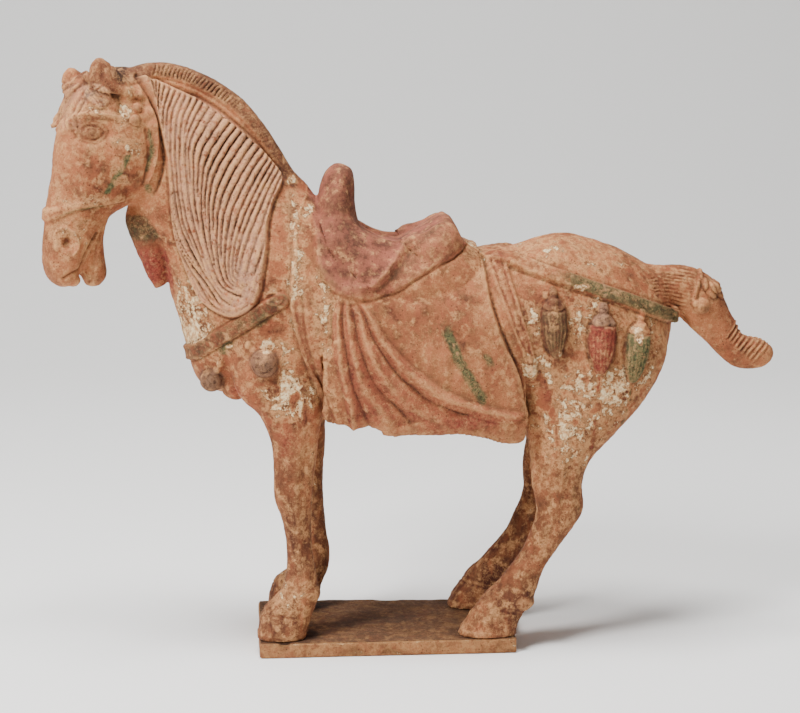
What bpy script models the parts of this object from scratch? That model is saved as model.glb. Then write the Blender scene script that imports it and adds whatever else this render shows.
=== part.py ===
# Tomb figurine: a standing, saddled horse of moulded and carved earthenware on a thin slab.
# Frame: +Z up, origin at the middle of the slab's underside. The horse faces -X,
# so its left side, the one that shows best, faces -Y.
#
# The figure is a free form. Its pose, proportions and carving are kept as parts of its own height,
# of which there are 353: x along the horse, y across it and z above the soles.

import math
from collections import namedtuple

import bmesh
import bpy
import numpy as np
from mathutils import Vector
from mathutils.bvhtree import BVHTree
from mathutils.kdtree import KDTree

# Driving dimensions, in metres
HORSE_HEIGHT = 0.353       # soles to the tips of the ears
SLAB_THICKNESS = 0.0098
SLAB_SETBACK = 0.0010      # how far its ends stand back from the toes and heels
SLAB_MARGIN = 0.0010       # how far it runs past the hooves at the sides
SLAB_TAPER = 0.0030        # how much wider each side is at the front end than behind
SLAB_EDGE = 0.0012         # wear along the slab's edges
SEAT_GAP = 0.0003          # joint between the soles and the slab

STRAP_WIDTH = 0.0085       # breast strap and crupper
STRAP_RELIEF = 0.0020
NOSEBAND_WIDTH = 0.0065
NOSEBAND_RELIEF = 0.0020
CLOTH_RELIEF = 0.0028      # saddlecloth above the flank
SKIRT_RELIEF = 0.0024      # saddle skirt above the cloth
BAND_RELIEF = 0.0018       # band behind the cloth
FOLD_RELIEF = 0.0034
MANE_RELIEF = 0.0034
LOCK_DEPTH = 0.0020        # grooves between the locks of the mane
BELL_WIDTH = 0.0150
BOSS_WIDTH = 0.0084        # bosses of the headstall
TASSEL_WIDTH = 0.0165

CLAY_STEP = 0.0014         # finest step of the fused clay
HORSE_FACES = 9500

# Heights and depths of the smaller carving, in parts (see unit, below)
NOTCH_DEPTH = 0.8          # crest
RUMP_HOLLOW = 5.0          # between the buttocks
TENDON_DEPTH = 1.4
RIDGE_HEIGHT = 0.9         # end of the tail
RIB_DEPTH = 0.7            # tassels
RING_DEPTH = 1.0           # grooves above and below a tassel's ring
CHEEK_RISE = 2.6
CHEEK_RIM = 1.2
CHEEK_GROOVE = 2.6
BROW_RISE = 2.4
SOCKET_DEPTH = 2.2
EYE_RISE = 4.6
MUZZLE_RISE = 2.4
NOSTRIL_DEPTH = 4.4
FACE_HOLLOW = 1.6
MOUTH_DEPTH = 3.0

PARTS = 353.0
LOCKS = 12                 # locks of the mane, each side
MANE_BOW = 7.0             # how far the locks bow forward of a straight fall
CREST_NOTCHES = 22
TAIL_RIDGES = 7
TASSEL_RIBS = 4
HEAD_TURN = math.radians(22)   # towards the left side
HEAD_PIVOT = -146.0            # x of the upright axis that the head turns on
STANCE = 32.0                  # y of the hooves' middles
HOOF_HALF = 14.5
LEFT, RIGHT = -1, 1

unit = HORSE_HEIGHT / PARTS
sole_height = SLAB_THICKNESS + SEAT_GAP

Ring = namedtuple("Ring", "top bottom half y crown keel")


def ring(top, bottom, half, y=0.0, crown=2.0, keel=2.0):
    # top and bottom are (x, z) on the outline, half is half the width across.
    # crown and keel shape the two halves of the section: 2 is an ellipse, less is pointed, more is square.
    return Ring(top, bottom, half, y, crown, keel)


def smooth_run(rows, step):
    # a Catmull-Rom run through the rows, with a new row about every step
    rows = np.array(rows, float)
    gaps = np.linalg.norm(np.diff(rows[:, :2], axis=0), axis=1)
    knots = np.concatenate([[0], np.cumsum(np.sqrt(np.maximum(gaps, 1e-6)))])
    slopes = np.gradient(rows, knots, axis=0)
    out = []
    for i, gap in enumerate(gaps):
        span = knots[i + 1] - knots[i]
        count = max(1, round(gap / step))
        for t in np.arange(count) / count:
            out.append((2 * t**3 - 3 * t**2 + 1) * rows[i] + (t**3 - 2 * t**2 + t) * span * slopes[i]
                       + (3 * t**2 - 2 * t**3) * rows[i + 1] + (t**3 - t**2) * span * slopes[i + 1])
    return np.array(out + [rows[-1]])


def loft(rings, side=LEFT, step=4.0, sides=28):
    # a closed tube through the rings, as (points in parts, faces); side mirrors it across the horse
    rows = smooth_run([(*r.top, *r.bottom, r.half, r.y, r.crown, r.keel) for r in rings], step)
    angle = np.linspace(0, 2 * math.pi, sides, endpoint=False)
    cos, sin = np.cos(angle), np.sin(angle)
    points = []
    for top_x, top_z, low_x, low_z, half, y, crown, keel in rows:
        power = 2 / np.where(cos >= 0, crown, keel)
        high = 0.5 + 0.5 * np.sign(cos) * np.abs(cos) ** power
        across = side * y + half * np.sign(sin) * np.abs(sin) ** power
        points += list(zip(low_x + (top_x - low_x) * high, across, low_z + (top_z - low_z) * high))
    faces = []
    for i in range(len(rows) - 1):
        for j in range(sides):
            k = (j + 1) % sides
            faces.append((i * sides + j, i * sides + k, (i + 1) * sides + k, (i + 1) * sides + j))
    last = (len(rows) - 1) * sides
    faces.append(tuple(range(sides))[::-1])
    faces.append(tuple(range(last, last + sides)))
    return np.array(points), faces


def ball(centre, radii):
    # an ellipsoid, as (points in parts, faces)
    shape = bmesh.new()
    bmesh.ops.create_uvsphere(shape, u_segments=20, v_segments=12, radius=1.0)
    points = np.array([v.co[:] for v in shape.verts]) * radii + centre
    faces = [tuple(v.index for v in f.verts) for f in shape.faces]
    shape.free()
    return points, faces


def turn_head(points, turn=HEAD_TURN):
    # from the head's own straight frame to where it looks, or back with a negative turn
    c, s = math.cos(turn), math.sin(turn)
    x, y = points[:, 0] - HEAD_PIVOT, points[:, 1]
    return np.stack([HEAD_PIVOT + c * x - s * y, s * x + c * y, points[:, 2]], axis=1)


# The horse's body

trunk_rings = [
    ring((178, 207), (175, 172), 14),
    ring((170, 219), (164, 148), 29),
    ring((153, 230.5), (146, 128), 39),
    ring((131, 240), (122, 122), 43.5),
    ring((106, 245), (100, 124), 45),
    ring((76, 236.5), (72, 129), 45, 0, 2.1),
    ring((57, 234), (54, 131), 45.5, 0, 2.2),
    ring((40, 230), (38, 131), 45.5, 0, 2.3),
    ring((12, 229), (12, 132), 46, 0, 2.3),
    ring((-18, 238), (-18, 134), 45.5, 0, 2.2),
    ring((-34, 256), (-48, 138), 43),
    ring((-43, 269), (-76, 141), 40),
    ring((-53, 276), (-98, 146), 38),
    ring((-61, 284), (-115, 154), 35, 0, 1.9),
    ring((-70, 294), (-122, 173), 31, 0, 1.8),
    ring((-81, 306), (-126.5, 192), 26.5, 0, 1.8),
    ring((-94, 318), (-132, 211), 23, 0, 1.8),
    ring((-110, 329), (-136, 231), 20, 0, 1.9),
    ring((-126, 338), (-148, 250), 18),
    ring((-140, 342), (-156, 266), 16.5),
    ring((-152, 340), (-165, 284), 13),
]

crest_rings = [
    ring((-42, 268), (-58, 256), 5, 0, 3),
    ring((-48, 276), (-66, 262), 5.5, 0, 3),
    ring((-56, 284), (-76, 270), 6, 0, 3),
    ring((-63, 296), (-84, 278), 6.5, 0, 3),
    ring((-73.5, 312), (-94, 292), 7, 0, 3),
    ring((-85.5, 327), (-105, 304), 7, 0, 3),
    ring((-104, 340), (-119, 316), 6.5, 0, 3),
    ring((-123, 348), (-132, 324), 6, 0, 3),
    ring((-141, 350), (-143, 328), 5.5, 0, 3),
    ring((-154, 347), (-151, 330), 4, 0, 3),
]

foreleg_rings = [
    ring((-96, 205), (-44, 198), 13, 22),
    ring((-96, 172), (-40, 164), 15, 26.5),
    ring((-91, 151), (-39, 140), 14.5, 29),
    ring((-78, 138), (-42, 126), 13, 31),
    ring((-71, 120), (-44, 107), 11.5, STANCE),
    ring((-70, 99), (-46, 92), 10.8, STANCE),
    ring((-69.5, 87), (-47, 80), 11, STANCE, 2.4),
    ring((-65, 73), (-47, 66), 9.5, STANCE),
    ring((-62.5, 56), (-46, 51), 8.6, STANCE),
    ring((-63, 40), (-43.5, 36), 9.5, STANCE),
    ring((-67, 27), (-42.5, 25), 11.2, STANCE),
    ring((-76.5, 19), (-46, 16), 13, STANCE, 2.2, 2.2),
    ring((-80, 9), (-49, 6), HOOF_HALF, STANCE, 2.4, 2.4),
    ring((-81, -4), (-51, -4), HOOF_HALF, STANCE, 2.6, 2.6),
]

# the far legs stand further back than the near ones, by so much at each height
far_foreleg_back = [(-4, 7), (16, 7), (26, 7.5), (38, 10), (52, 10), (80, 9), (107, 7.5), (130, 6), (165, 0)]

far_hindleg_back = [(-4, -1), (20, -3.5), (35, -2.5), (50, -1), (60, -2), (85, 0), (95, 2), (110, 5), (150, 0)]

hindleg_rings = [
    ring((74, 205), (158, 202), 17, 20),
    ring((75, 176), (172.5, 180), 20.5, 24.5),
    ring((79, 146), (160, 147), 18.5, 27),
    ring((85.5, 124), (137, 121), 15.5, 29),
    ring((87, 110), (124.5, 108), 13, 31),
    ring((88, 94), (120, 94), 11.5, STANCE),
    ring((91, 77), (120.5, 77), 11, STANCE, 2, 1.8),
    ring((87.5, 63), (114, 66), 10, STANCE),
    ring((81, 50), (104, 52), 9, STANCE),
    ring((74, 40), (96.5, 40), 9.6, STANCE),
    ring((67, 31), (92, 27), 11, STANCE),
    ring((58, 22), (89.5, 19), 12.5, STANCE, 2.2, 2.2),
    ring((50, 11), (84, 12), 13.5, STANCE, 2.4, 2.4),
    ring((44, 2), (80, 4), HOOF_HALF, STANCE, 2.5, 2.5),
    ring((42, -4), (80, -4), HOOF_HALF, STANCE, 2.6, 2.6),
]

tail_rings = [
    ring((156, 225), (158, 190), 12),
    ring((168, 225), (172, 193), 12),
    ring((178, 224.5), (180, 193), 12),
    ring((190, 223), (186, 189), 12),
    ring((199, 219), (189, 181), 12.5),
    ring((206, 213), (196, 174.5), 12.5),
    ring((212, 202), (202, 168), 11),
    ring((218, 190), (208, 162), 10.5),
    ring((227, 182.5), (216, 156.5), 10.5),
    ring((237, 181), (225, 154.5), 10),
    ring((245.5, 175), (235, 155.5), 8),
    ring((247, 167), (243, 160), 4),
]

skull_rings = [
    ring((-148, 346), (-134, 324), 11),
    ring((-163, 348), (-131, 313), 15),
    ring((-178, 343), (-130, 302), 19, 0, 2.2, 2.2),
    ring((-190, 333), (-130, 293), 21.5, 0, 2.2, 2.2),
    ring((-198, 318), (-132, 283), 22, 0, 2.1, 2.2),
    ring((-202.5, 302), (-138, 274), 20, 0, 2.1, 2.1),
    ring((-205, 285), (-153, 266), 16.5),
    ring((-208.5, 268), (-169, 258), 13.5),
    ring((-210.5, 252), (-175, 246), 12.5),
    ring((-211.5, 238), (-180, 238), 13.5, 0, 2.2),
    ring((-210.5, 227), (-189, 226), 13, 0, 2.3),
    ring((-207, 220), (-193, 219), 11, 0, 2.3),
    ring((-203, 217), (-197, 217), 6),
]

jaw_rings = [
    ring((-182, 264), (-170, 258), 10),
    ring((-188, 248), (-174, 244), 9.5),
    ring((-188.5, 234), (-173, 233), 9),
    ring((-188, 223), (-172, 222), 9),
    ring((-185, 216), (-176.5, 216), 5.5),
]

ear_rings = [
    ring((-178, 334), (-161, 331), 5.5),
    ring((-179, 342), (-163, 339), 5.2),
    ring((-180, 348.5), (-168, 347), 4.4),
    ring((-180, 352.5), (-174, 352), 2.4),
]

# the ears of the two sides differ in place: (x, y, z) from the rings above
ear_places = {LEFT: (0, 13, 1), RIGHT: (-9, 13, -6)}

# the forelock is parted: the left lobe is combed back over the brow, the right one hangs down
forelock_rings = {
    LEFT: [
        ring((-185, 344), (-182, 336), 5, 5),
        ring((-177, 344.5), (-174, 334), 5.5, 11),
        ring((-168, 341), (-166, 330), 5, 15.5),
        ring((-161, 336), (-160, 330), 3, 17.5),
    ],
    RIGHT: [
        ring((-181, 346), (-175, 340), 5, 2),
        ring((-189, 340), (-182, 333), 7, 5),
        ring((-193, 330), (-187, 325), 7.5, 8),
        ring((-197, 319), (-191, 317), 5.5, 11),
        ring((-199, 312), (-195, 311), 3, 12),
    ],
}

seat_rings = [
    ring((-28, 262), (-28, 200), 32),
    ring((-14, 254), (-14, 200), 36),
    ring((-4, 245.5), (-4, 200), 37),
    ring((8, 242), (8, 200), 37.5),
    ring((21, 247.5), (21, 200), 37),
    ring((34, 250), (34, 200), 35),
    ring((46, 245), (46, 200), 33),
    ring((55, 238), (55, 200), 30),
]

pommel_rings = [
    ring((-45, 218), (-4, 218), 36, 0, 2.4, 2.2),
    ring((-45, 236), (-12, 236), 33, 0, 2.4, 2.2),
    ring((-44, 254), (-16.5, 254), 27, 0, 2.4, 2.2),
    ring((-41.5, 268), (-17.5, 266), 21, 0, 2.2, 2.2),
    ring((-38.5, 279), (-18.5, 277), 16.5),
    ring((-34, 286), (-20.5, 285.5), 11.5),
    ring((-30, 288.5), (-25, 288), 5),
]

cantle_rings = [
    ring((14, 220), (50, 222), 33),
    ring((18, 236), (48.5, 234), 34, 0, 2, 2.4),
    ring((22.5, 246.5), (45, 245), 31, 0, 2, 2.4),
    ring((27, 253.5), (42, 253), 24, 0, 2, 2.4),
    ring((33.5, 258), (39.5, 257), 12),
]

# the saddlecloth's hanging edge, one plate each side, thick at the hem
flap_rings = [
    ring((-38, 180), (-38, 139), 2.0, 42, 2, 3),
    ring((-30, 190), (-30, 137.5), 3.6, 42.5, 2, 3),
    ring((-12, 190), (-12, 136.5), 4.4, 43, 2, 3),
    ring((12, 190), (12, 134), 4.8, 43, 2, 3),
    ring((36, 190), (36, 134), 5.0, 43, 2, 3),
    ring((58, 190), (58, 130), 5.0, 42.5, 2, 3),
    ring((74, 180), (74, 126), 4.4, 42, 2, 3),
    ring((83, 160), (83, 130), 2.5, 41.5, 2, 3),
]

pendant_rings = [
    ring((-156, 266), (-147, 269), 5),
    ring((-158.5, 256), (-142, 258), 8),
    ring((-155, 243), (-137, 247), 9.5),
    ring((-149.5, 229), (-133, 235), 9),
    ring((-144, 217), (-131, 224), 7),
    ring((-139.5, 210), (-132, 213), 4),
]

# Lines of the carving in side view, as (x, z)

mane_front = [(-141, 341), (-139, 328), (-135, 318), (-133, 303), (-130, 288), (-128, 273), (-126, 255),
              (-124, 240), (-119, 226), (-111, 212), (-101, 203)]
mane_tip = [(-101, 203), (-90, 199.5), (-80, 202), (-74, 210)]
mane_back = [(-58, 276), (-64, 264), (-68, 252), (-71, 240), (-71, 220), (-74, 210)]
mane_root = [(-141, 341), (-126, 337), (-110, 327.5), (-94, 315), (-80, 300), (-69, 287), (-58, 276)]
crest_line = [(-154, 347), (-141, 350), (-123, 348), (-104, 340), (-85.5, 327), (-72.5, 313), (-62, 297),
              (-55, 285), (-48, 277)]

cloth_front = [(-49, 275), (-56, 256), (-57, 235), (-59, 214), (-57, 196), (-52, 178), (-46, 161), (-40, 146),
               (-37, 136)]
cloth_hem = [(-37, 136), (-15, 133), (6, 131), (31, 131), (55, 128), (70, 126), (79, 127)]
cloth_rear = [(79, 127), (83, 137), (81, 151), (78, 164), (71, 180), (65, 195), (61, 210), (59, 225),
              (56, 240), (52, 256)]
skirt_edge = [(-46, 262), (-45, 243), (-46, 230), (-42, 219), (-33, 213), (-22, 212), (-6, 217), (12, 224),
              (30, 233), (41, 241), (48, 250), (52, 262)]
border_line = [(-47, 214), (-46, 196), (-41, 180), (-35, 163), (-28, 148), (-23, 136)]
folds = [
    [(-26, 211), (-26, 196), (-23, 182), (-17, 166), (-9, 152), (2, 141)],
    [(-24, 211), (-21, 196), (-14, 180), (-4, 164), (8, 152), (22, 142), (38, 136)],
    [(-22, 211), (-16, 196), (-6, 180), (8, 164), (22, 154), (38, 146), (56, 141), (74, 138)],
    [(-28, 211), (-31, 196), (-30, 180), (-26, 164), (-20, 150), (-14, 140)],
]
band_line = [(64, 243), (67, 226), (70, 208), (76, 190), (83, 173), (88, 160)]
breast_strap = [(-128, 180), (-121, 184), (-110, 189), (-97, 196), (-84, 203), (-70, 210), (-60, 213)]
crupper_strap = [(52, 243), (60, 240), (76, 232), (97, 226), (128, 216), (152, 210), (172, 202), (182, 198)]

tendon_lines = [
    [(-50, 118), (-52, 92), (-51, 70), (-50, 48)],
    [(112, 112), (109, 92), (104, 74), (92, 52)],
]
tail_band = [(205, 219), (198, 205), (196, 186)]
tail_end = 214             # x where the ridges of the tail start

noseband_line = [(-214, 262), (-200, 263), (-186, 265.5), (-172, 268), (-160, 270)]
brow_line = [(-200, 309), (-196, 316.5), (-189, 320.5), (-180, 320), (-171, 316)]
mouth_line = [(-190, 213), (-187, 222), (-184, 232), (-181, 242)]
cheek_middle, cheek_radius = (-155, 300), 23.5
eye = (-185.5, 308.5)
nostril = (-200.5, 241.5)
boss_places = [(-162, 325), (-161, 317), (-160, 309)]
bell_places = [(-76, 174, 1.0), (-106, 163, 0.9)]
knot_places = [(-66, 213), (-82, 185)]
tassel_axes = [((99, 217), (101, 172), 0.97), ((131, 209), (129, 163), 1.1), ((155, 202), (149, 158), 1.0)]
tassel_profile = [(0.0, 0.16), (0.07, 0.34), (0.15, 0.34), (0.2, 0.62), (0.3, 0.92), (0.45, 1.0),
                  (0.62, 0.98), (0.8, 0.78), (0.92, 0.5), (1.0, 0.22)]


def nearest(points, path):
    # distance to a smooth line through path, and how far along it, both in parts
    line = smooth_run(path, 3.0)
    starts, ends = line[:-1], line[1:]
    spans = ends - starts
    lengths = np.linalg.norm(spans, axis=1)
    before = np.concatenate([[0], np.cumsum(lengths)[:-1]])
    best = np.full(len(points), np.inf)
    along = np.zeros(len(points))
    for start, span, length, done in zip(starts, spans, lengths, before):
        offset = points - start
        t = np.clip(offset @ span / length**2, 0, 1)
        gap = np.linalg.norm(offset - t[:, None] * span, axis=1)
        closer = gap < best
        best[closer] = gap[closer]
        along[closer] = (done + t * length)[closer]
    return best, along


def inside(points, outline):
    # distance within a closed outline, negative outside it
    line = smooth_run(list(outline) + [outline[0]], 3.0)
    hit = np.zeros(len(points), bool)
    x, z = points[:, 0], points[:, 1]
    for (x0, z0), (x1, z1) in zip(line[:-1], line[1:]):
        if z0 == z1:
            continue
        crosses = (z0 > z) != (z1 > z)
        hit ^= crosses & (x < (x1 - x0) * (z - z0) / (z1 - z0) + x0)
    gap, _ = nearest(points, list(outline) + [outline[0]])
    return np.where(hit, gap, -gap)


def rise(values, start, end):
    # 0 below start, 1 above end, smooth between
    t = np.clip((values - start) / (end - start), 0, 1)
    return t * t * (3 - 2 * t)


def dome(points, centre, radii, tilt=0.0):
    # 1 at the centre, 0 at the ellipse's edge
    c, s = math.cos(tilt), math.sin(tilt)
    x, z = points[:, 0] - centre[0], points[:, 1] - centre[1]
    far = ((c * x + s * z) / radii[0]) ** 2 + ((c * z - s * x) / radii[1]) ** 2
    return np.clip(1 - far, 0, 1) ** 1.5


def along_line(path, shares):
    # points at even shares of the way along a smooth line
    line = smooth_run(path, 2.0)
    way = np.concatenate([[0], np.cumsum(np.linalg.norm(np.diff(line, axis=0), axis=1))])
    return np.stack([np.interp(shares * way[-1], way, line[:, k]) for k in (0, 1)], axis=1)


def lock_number(points):
    # which lock of the mane a point lies on, from 0 at the poll to LOCKS at the withers, and how
    # wide it is there: the locks leave the root line, bow forward and run down into the rounded tip
    across, down = np.linspace(-0.04, 1.04, 55), np.linspace(-0.04, 1.04, 55)
    root, tip = along_line(mane_root, across), along_line(mane_tip, across)
    front, back = along_line(mane_front, down), along_line(mane_back, down)
    a, d = across[:, None, None], down[None, :, None]
    corners = ((1 - a) * (1 - d) * root[0] + a * (1 - d) * root[-1]
               + (1 - a) * d * tip[0] + a * d * tip[-1])
    grid = ((1 - d) * root[:, None] + d * tip[:, None] + (1 - a) * front[None] + a * back[None] - corners)
    grid[:, :, 0] -= (MANE_BOW * np.sin(math.pi * a.clip(0, 1)) * 6.75 * d * (1 - d) ** 2)[:, :, 0]
    slope_a, slope_d = np.gradient(grid, across, down, axis=(0, 1))
    tree = KDTree(grid.shape[0] * grid.shape[1])
    flat = grid.reshape(-1, 2)
    for i, (x, z) in enumerate(flat):
        tree.insert((x, z, 0), i)
    tree.balance()
    found = np.array([tree.find((x, z, 0))[1] for x, z in points])
    i, j = found // len(down), found % len(down)
    u, v = slope_a[i, j], slope_d[i, j]
    rest = points - flat[found]
    turn = u[:, 0] * v[:, 1] - u[:, 1] * v[:, 0]
    step = (rest[:, 0] * v[:, 1] - rest[:, 1] * v[:, 0]) / np.where(np.abs(turn) < 1e-6, 1e-6, turn)
    pitch = np.abs(turn) / (np.linalg.norm(v, axis=1) + 1e-6) / LOCKS
    return (across[i] + np.clip(step, -0.05, 0.05)) * LOCKS, pitch


def body_carving(points, normals):
    # height of the relief at each point of the body, in metres
    flat = points[:, [0, 2]]
    x, z = flat[:, 0], flat[:, 1]
    flank = rise(np.abs(normals[:, 1]), 0.15, 0.5)
    head = rise(-x, 150, 156) * rise(z, 200, 212)
    height = np.zeros(len(points))

    mane_outline = mane_front + mane_tip[1:] + mane_back[-2::-1] + mane_root[-2:0:-1]
    near_mane = (x < -50) & (x > -150) & (z > 190) & (head < 0.5)
    mane = inside(flat[near_mane], mane_outline)
    locks, pitch = lock_number(flat[near_mane])
    groove = np.abs(np.mod(locks, 1) - 0.5) * 2
    strands = rise(mane, 2.5, 6.0) * rise(pitch, 2.2, 4.0)
    height[near_mane] += flank[near_mane] * rise(mane, -0.6, 1.4) * MANE_RELIEF
    height[near_mane] -= flank[near_mane] * strands * rise(groove, 0.35, 1.0) * LOCK_DEPTH

    gap, along = nearest(flat, crest_line)
    notch = 0.5 - 0.5 * np.cos(2 * math.pi * along / along.max() * CREST_NOTCHES)
    height -= rise(-gap, -9, -7) * rise(gap, 0.5, 2) * flank * notch * NOTCH_DEPTH * unit

    cloth = inside(flat, cloth_front + cloth_hem[1:] + cloth_rear[1:])
    height += rise(cloth, -0.8, 0.8) * flank * CLOTH_RELIEF
    gap, _ = nearest(flat, cloth_hem)
    height += rise(-gap, -7, -2) * rise(cloth, -1, 1) * rise(z, 122, 128) * flank * FOLD_RELIEF
    gap, _ = nearest(flat, border_line)
    height -= rise(-gap, -2.2, -0.6) * rise(cloth, 0, 2) * flank * STRAP_RELIEF
    for fold in folds:
        gap, along = nearest(flat, fold)
        fade = rise(along, 0, 12) * 0.55 + 0.45
        height += rise(-gap, -4.6, -0.6) * rise(cloth, -1, 2) * flank * fade * FOLD_RELIEF
    skirt = inside(flat, skirt_edge)
    height += rise(skirt, -0.8, 0.8) * flank * SKIRT_RELIEF
    gap, _ = nearest(flat, skirt_edge[2:-2])
    height -= rise(-gap, -7, -5) * rise(gap, 3.0, 4.6) * rise(skirt, 1, 2) * flank * 0.6 * SKIRT_RELIEF

    gap, _ = nearest(flat, band_line)
    height += rise(-gap, -6.5, -5) * rise(-cloth, 0.5, 2) * flank * BAND_RELIEF

    half_strap = 0.5 * STRAP_WIDTH / unit
    gap, _ = nearest(flat, breast_strap)
    strap = rise(-gap, -half_strap - 0.6, -half_strap + 0.8) * rise(-cloth, 0, 1.5)
    height = np.where((x < -50) & (strap > 0), np.maximum(height, strap * STRAP_RELIEF), height)
    gap, _ = nearest(flat, crupper_strap)
    strap = rise(-gap, -half_strap - 0.6, -half_strap + 0.8) * rise(x, 50, 56) * rise(-x, -180, -176)
    strap *= STRAP_RELIEF * (0.4 + 0.6 * flank) + BAND_RELIEF * flank * rise(-x, -84, -78)
    height = np.where(strap > 0, np.maximum(height, strap), height)

    # hollow between the buttocks, tendons of the legs, and the crease where the thigh meets the belly
    height -= rise(x, 150, 168) * rise(-np.abs(points[:, 1]), -9, -2) * rise(-z, -190, -180) * RUMP_HOLLOW * unit
    for line in tendon_lines:
        gap, _ = nearest(flat, line)
        height -= rise(-gap, -3.2, -0.4) * flank * TENDON_DEPTH * unit
    gap, _ = nearest(flat, tail_band)
    height += rise(-gap, -5, -3.4) * rise(x, 190, 192) * STRAP_RELIEF
    ridge = np.sin(2 * math.pi * TAIL_RIDGES * (x - tail_end + 0.6 * (190 - z)) / 34)
    outer = rise(x, tail_end - 2, tail_end + 2) * rise(normals[:, 0] + normals[:, 2], -0.2, 0.4)
    height += outer * ridge * RIDGE_HEIGHT * unit
    return height


def tassel_carving(points, normals):
    # ribs down the lower part of each tassel, under a ring, in metres
    flat = points[:, [0, 2]]
    height = np.zeros(len(points))
    for top, bottom, width in tassel_axes:
        top, bottom = np.array(top, float), np.array(bottom, float)
        axis = bottom - top
        share = (flat - top) @ axis / (axis @ axis)
        aside = ((flat - top) @ (axis[1], -axis[0])) / np.linalg.norm(axis)
        half = 0.5 * TASSEL_WIDTH / unit * width
        within = rise(-np.abs(aside), -half - 1, -half + 1) * rise(np.abs(points[:, 1]), 30, 34)
        ribs = np.cos(2 * math.pi * TASSEL_RIBS * aside / (2 * half)) - 1
        height += within * rise(share, 0.30, 0.38) * rise(-share, -0.97, -0.9) * ribs * RIB_DEPTH * unit
        for ring_edge in (0.15, 0.27):
            height -= within * rise(-np.abs(share - ring_edge), -0.035, -0.01) * RING_DEPTH * unit
    return height


def head_carving(points, normals):
    # height of the relief at each point of the head, given in its own straight frame, in metres
    flat = points[:, [0, 2]]
    x, z = flat[:, 0], flat[:, 1]
    head = rise(-x, 138, 146) * rise(z, 200, 206) * rise(-x + 0.3 * z, 215, 225)
    cheek = rise(np.abs(normals[:, 1]), 0.25, 0.6)
    height = np.zeros(len(points))
    reach = np.hypot(x - cheek_middle[0], (z - cheek_middle[1]) * 0.85)
    height += rise(-reach, -cheek_radius - 1, -cheek_radius + 4) * rise(x, -178, -160) * cheek * CHEEK_RISE * unit
    height += rise(-np.abs(reach - cheek_radius + 3), -3.4, -0.8) * rise(x, -160, -150) * cheek * CHEEK_RIM * unit
    behind = rise(-np.abs(reach - cheek_radius - 3.5), -3.4, -0.4) * rise(x, -156, -146)
    height -= behind * cheek * CHEEK_GROOVE * unit
    gap, _ = nearest(flat, brow_line)
    height += rise(-gap, -4.2, -0.8) * cheek * BROW_RISE * unit
    height -= dome(flat, (eye[0] + 1, eye[1] - 1), (14, 10), 0.1) * cheek * SOCKET_DEPTH * unit
    height += dome(flat, eye, (8.5, 5.6), 0.1) * cheek * EYE_RISE * unit
    height += dome(flat, (-199, 240), (11, 15), 0.25) * cheek * MUZZLE_RISE * unit
    height -= dome(flat, nostril, (4.4, 6.0), -0.5) * cheek * NOSTRIL_DEPTH * unit
    height -= dome(flat, (-196, 285), (7, 26), 0.0) * cheek * FACE_HOLLOW * unit
    gap, _ = nearest(flat, mouth_line)
    height -= rise(-gap, -2.6, -0.4) * rise(-z, -246, -236) * MOUTH_DEPTH * unit
    half_band = 0.5 * NOSEBAND_WIDTH / unit
    gap, _ = nearest(flat, noseband_line)
    height += rise(-gap, -half_band - 0.6, -half_band + 0.8) * NOSEBAND_RELIEF
    return height * head


# Building the clay body

def join(shapes):
    # one mesh datablock from several (points in parts, faces), set at its real size and height
    mesh = bpy.data.meshes.new("clay")
    points, faces = [], []
    for shape_points, shape_faces in shapes:
        start = len(points)
        points += [(x * unit, y * unit, sole_height + z * unit) for x, y, z in shape_points]
        faces += [tuple(start + i for i in face) for face in shape_faces]
    mesh.from_pydata(points, [], faces)
    return mesh


def evaluated(mesh, *modifiers):
    # the mesh with modifiers applied, each given as (kind, settings)
    holder = bpy.data.objects.new("holder", mesh)
    bpy.context.scene.collection.objects.link(holder)
    for kind, settings in modifiers:
        modifier = holder.modifiers.new(kind, kind)
        for name, value in settings.items():
            setattr(modifier, name, value)
    graph = bpy.context.evaluated_depsgraph_get()
    result = bpy.data.meshes.new_from_object(holder.evaluated_get(graph))
    bpy.data.objects.remove(holder)
    return result


def coordinates(mesh):
    points = np.empty(len(mesh.vertices) * 3)
    mesh.vertices.foreach_get("co", points)
    return (points.reshape(-1, 3) - (0, 0, sole_height)) / unit


def fuse(shapes, smoothing):
    mesh = join(shapes)
    cleaned = bmesh.new()
    cleaned.from_mesh(mesh)
    bmesh.ops.recalc_face_normals(cleaned, faces=cleaned.faces)
    cleaned.to_mesh(mesh)
    cleaned.free()
    return evaluated(mesh, ("REMESH", {"mode": "VOXEL", "voxel_size": CLAY_STEP, "adaptivity": 0.0}),
                     ("SMOOTH", {"factor": 0.5, "iterations": smoothing}))


def as_shape(mesh):
    return coordinates(mesh), [tuple(p.vertices) for p in mesh.polygons]


def surface_y(tree, x, z, side):
    # y of the body's side surface at (x, z), in parts
    start = Vector((x * unit, side * 0.2, sole_height + z * unit))
    hit = tree.ray_cast(start, Vector((0, -side, 0)))[0]
    return hit.y / unit


def tassel(tree, top, bottom, width, side):
    # a ribbed teardrop under a knob, half sunk in the haunch
    half = 0.5 * TASSEL_WIDTH / unit * width
    top, bottom = np.array(top), np.array(bottom)
    rings = []
    for share, radius in tassel_profile:
        middle = top + (bottom - top) * share
        y = surface_y(tree, *middle, side)
        rings.append(ring((middle[0] - half * radius, middle[1]), (middle[0] + half * radius, middle[1]),
                          max(0.75 * half * radius, 1.2), abs(y) + 1.4))
    return loft(rings, side, 2.0, 20)


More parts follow.
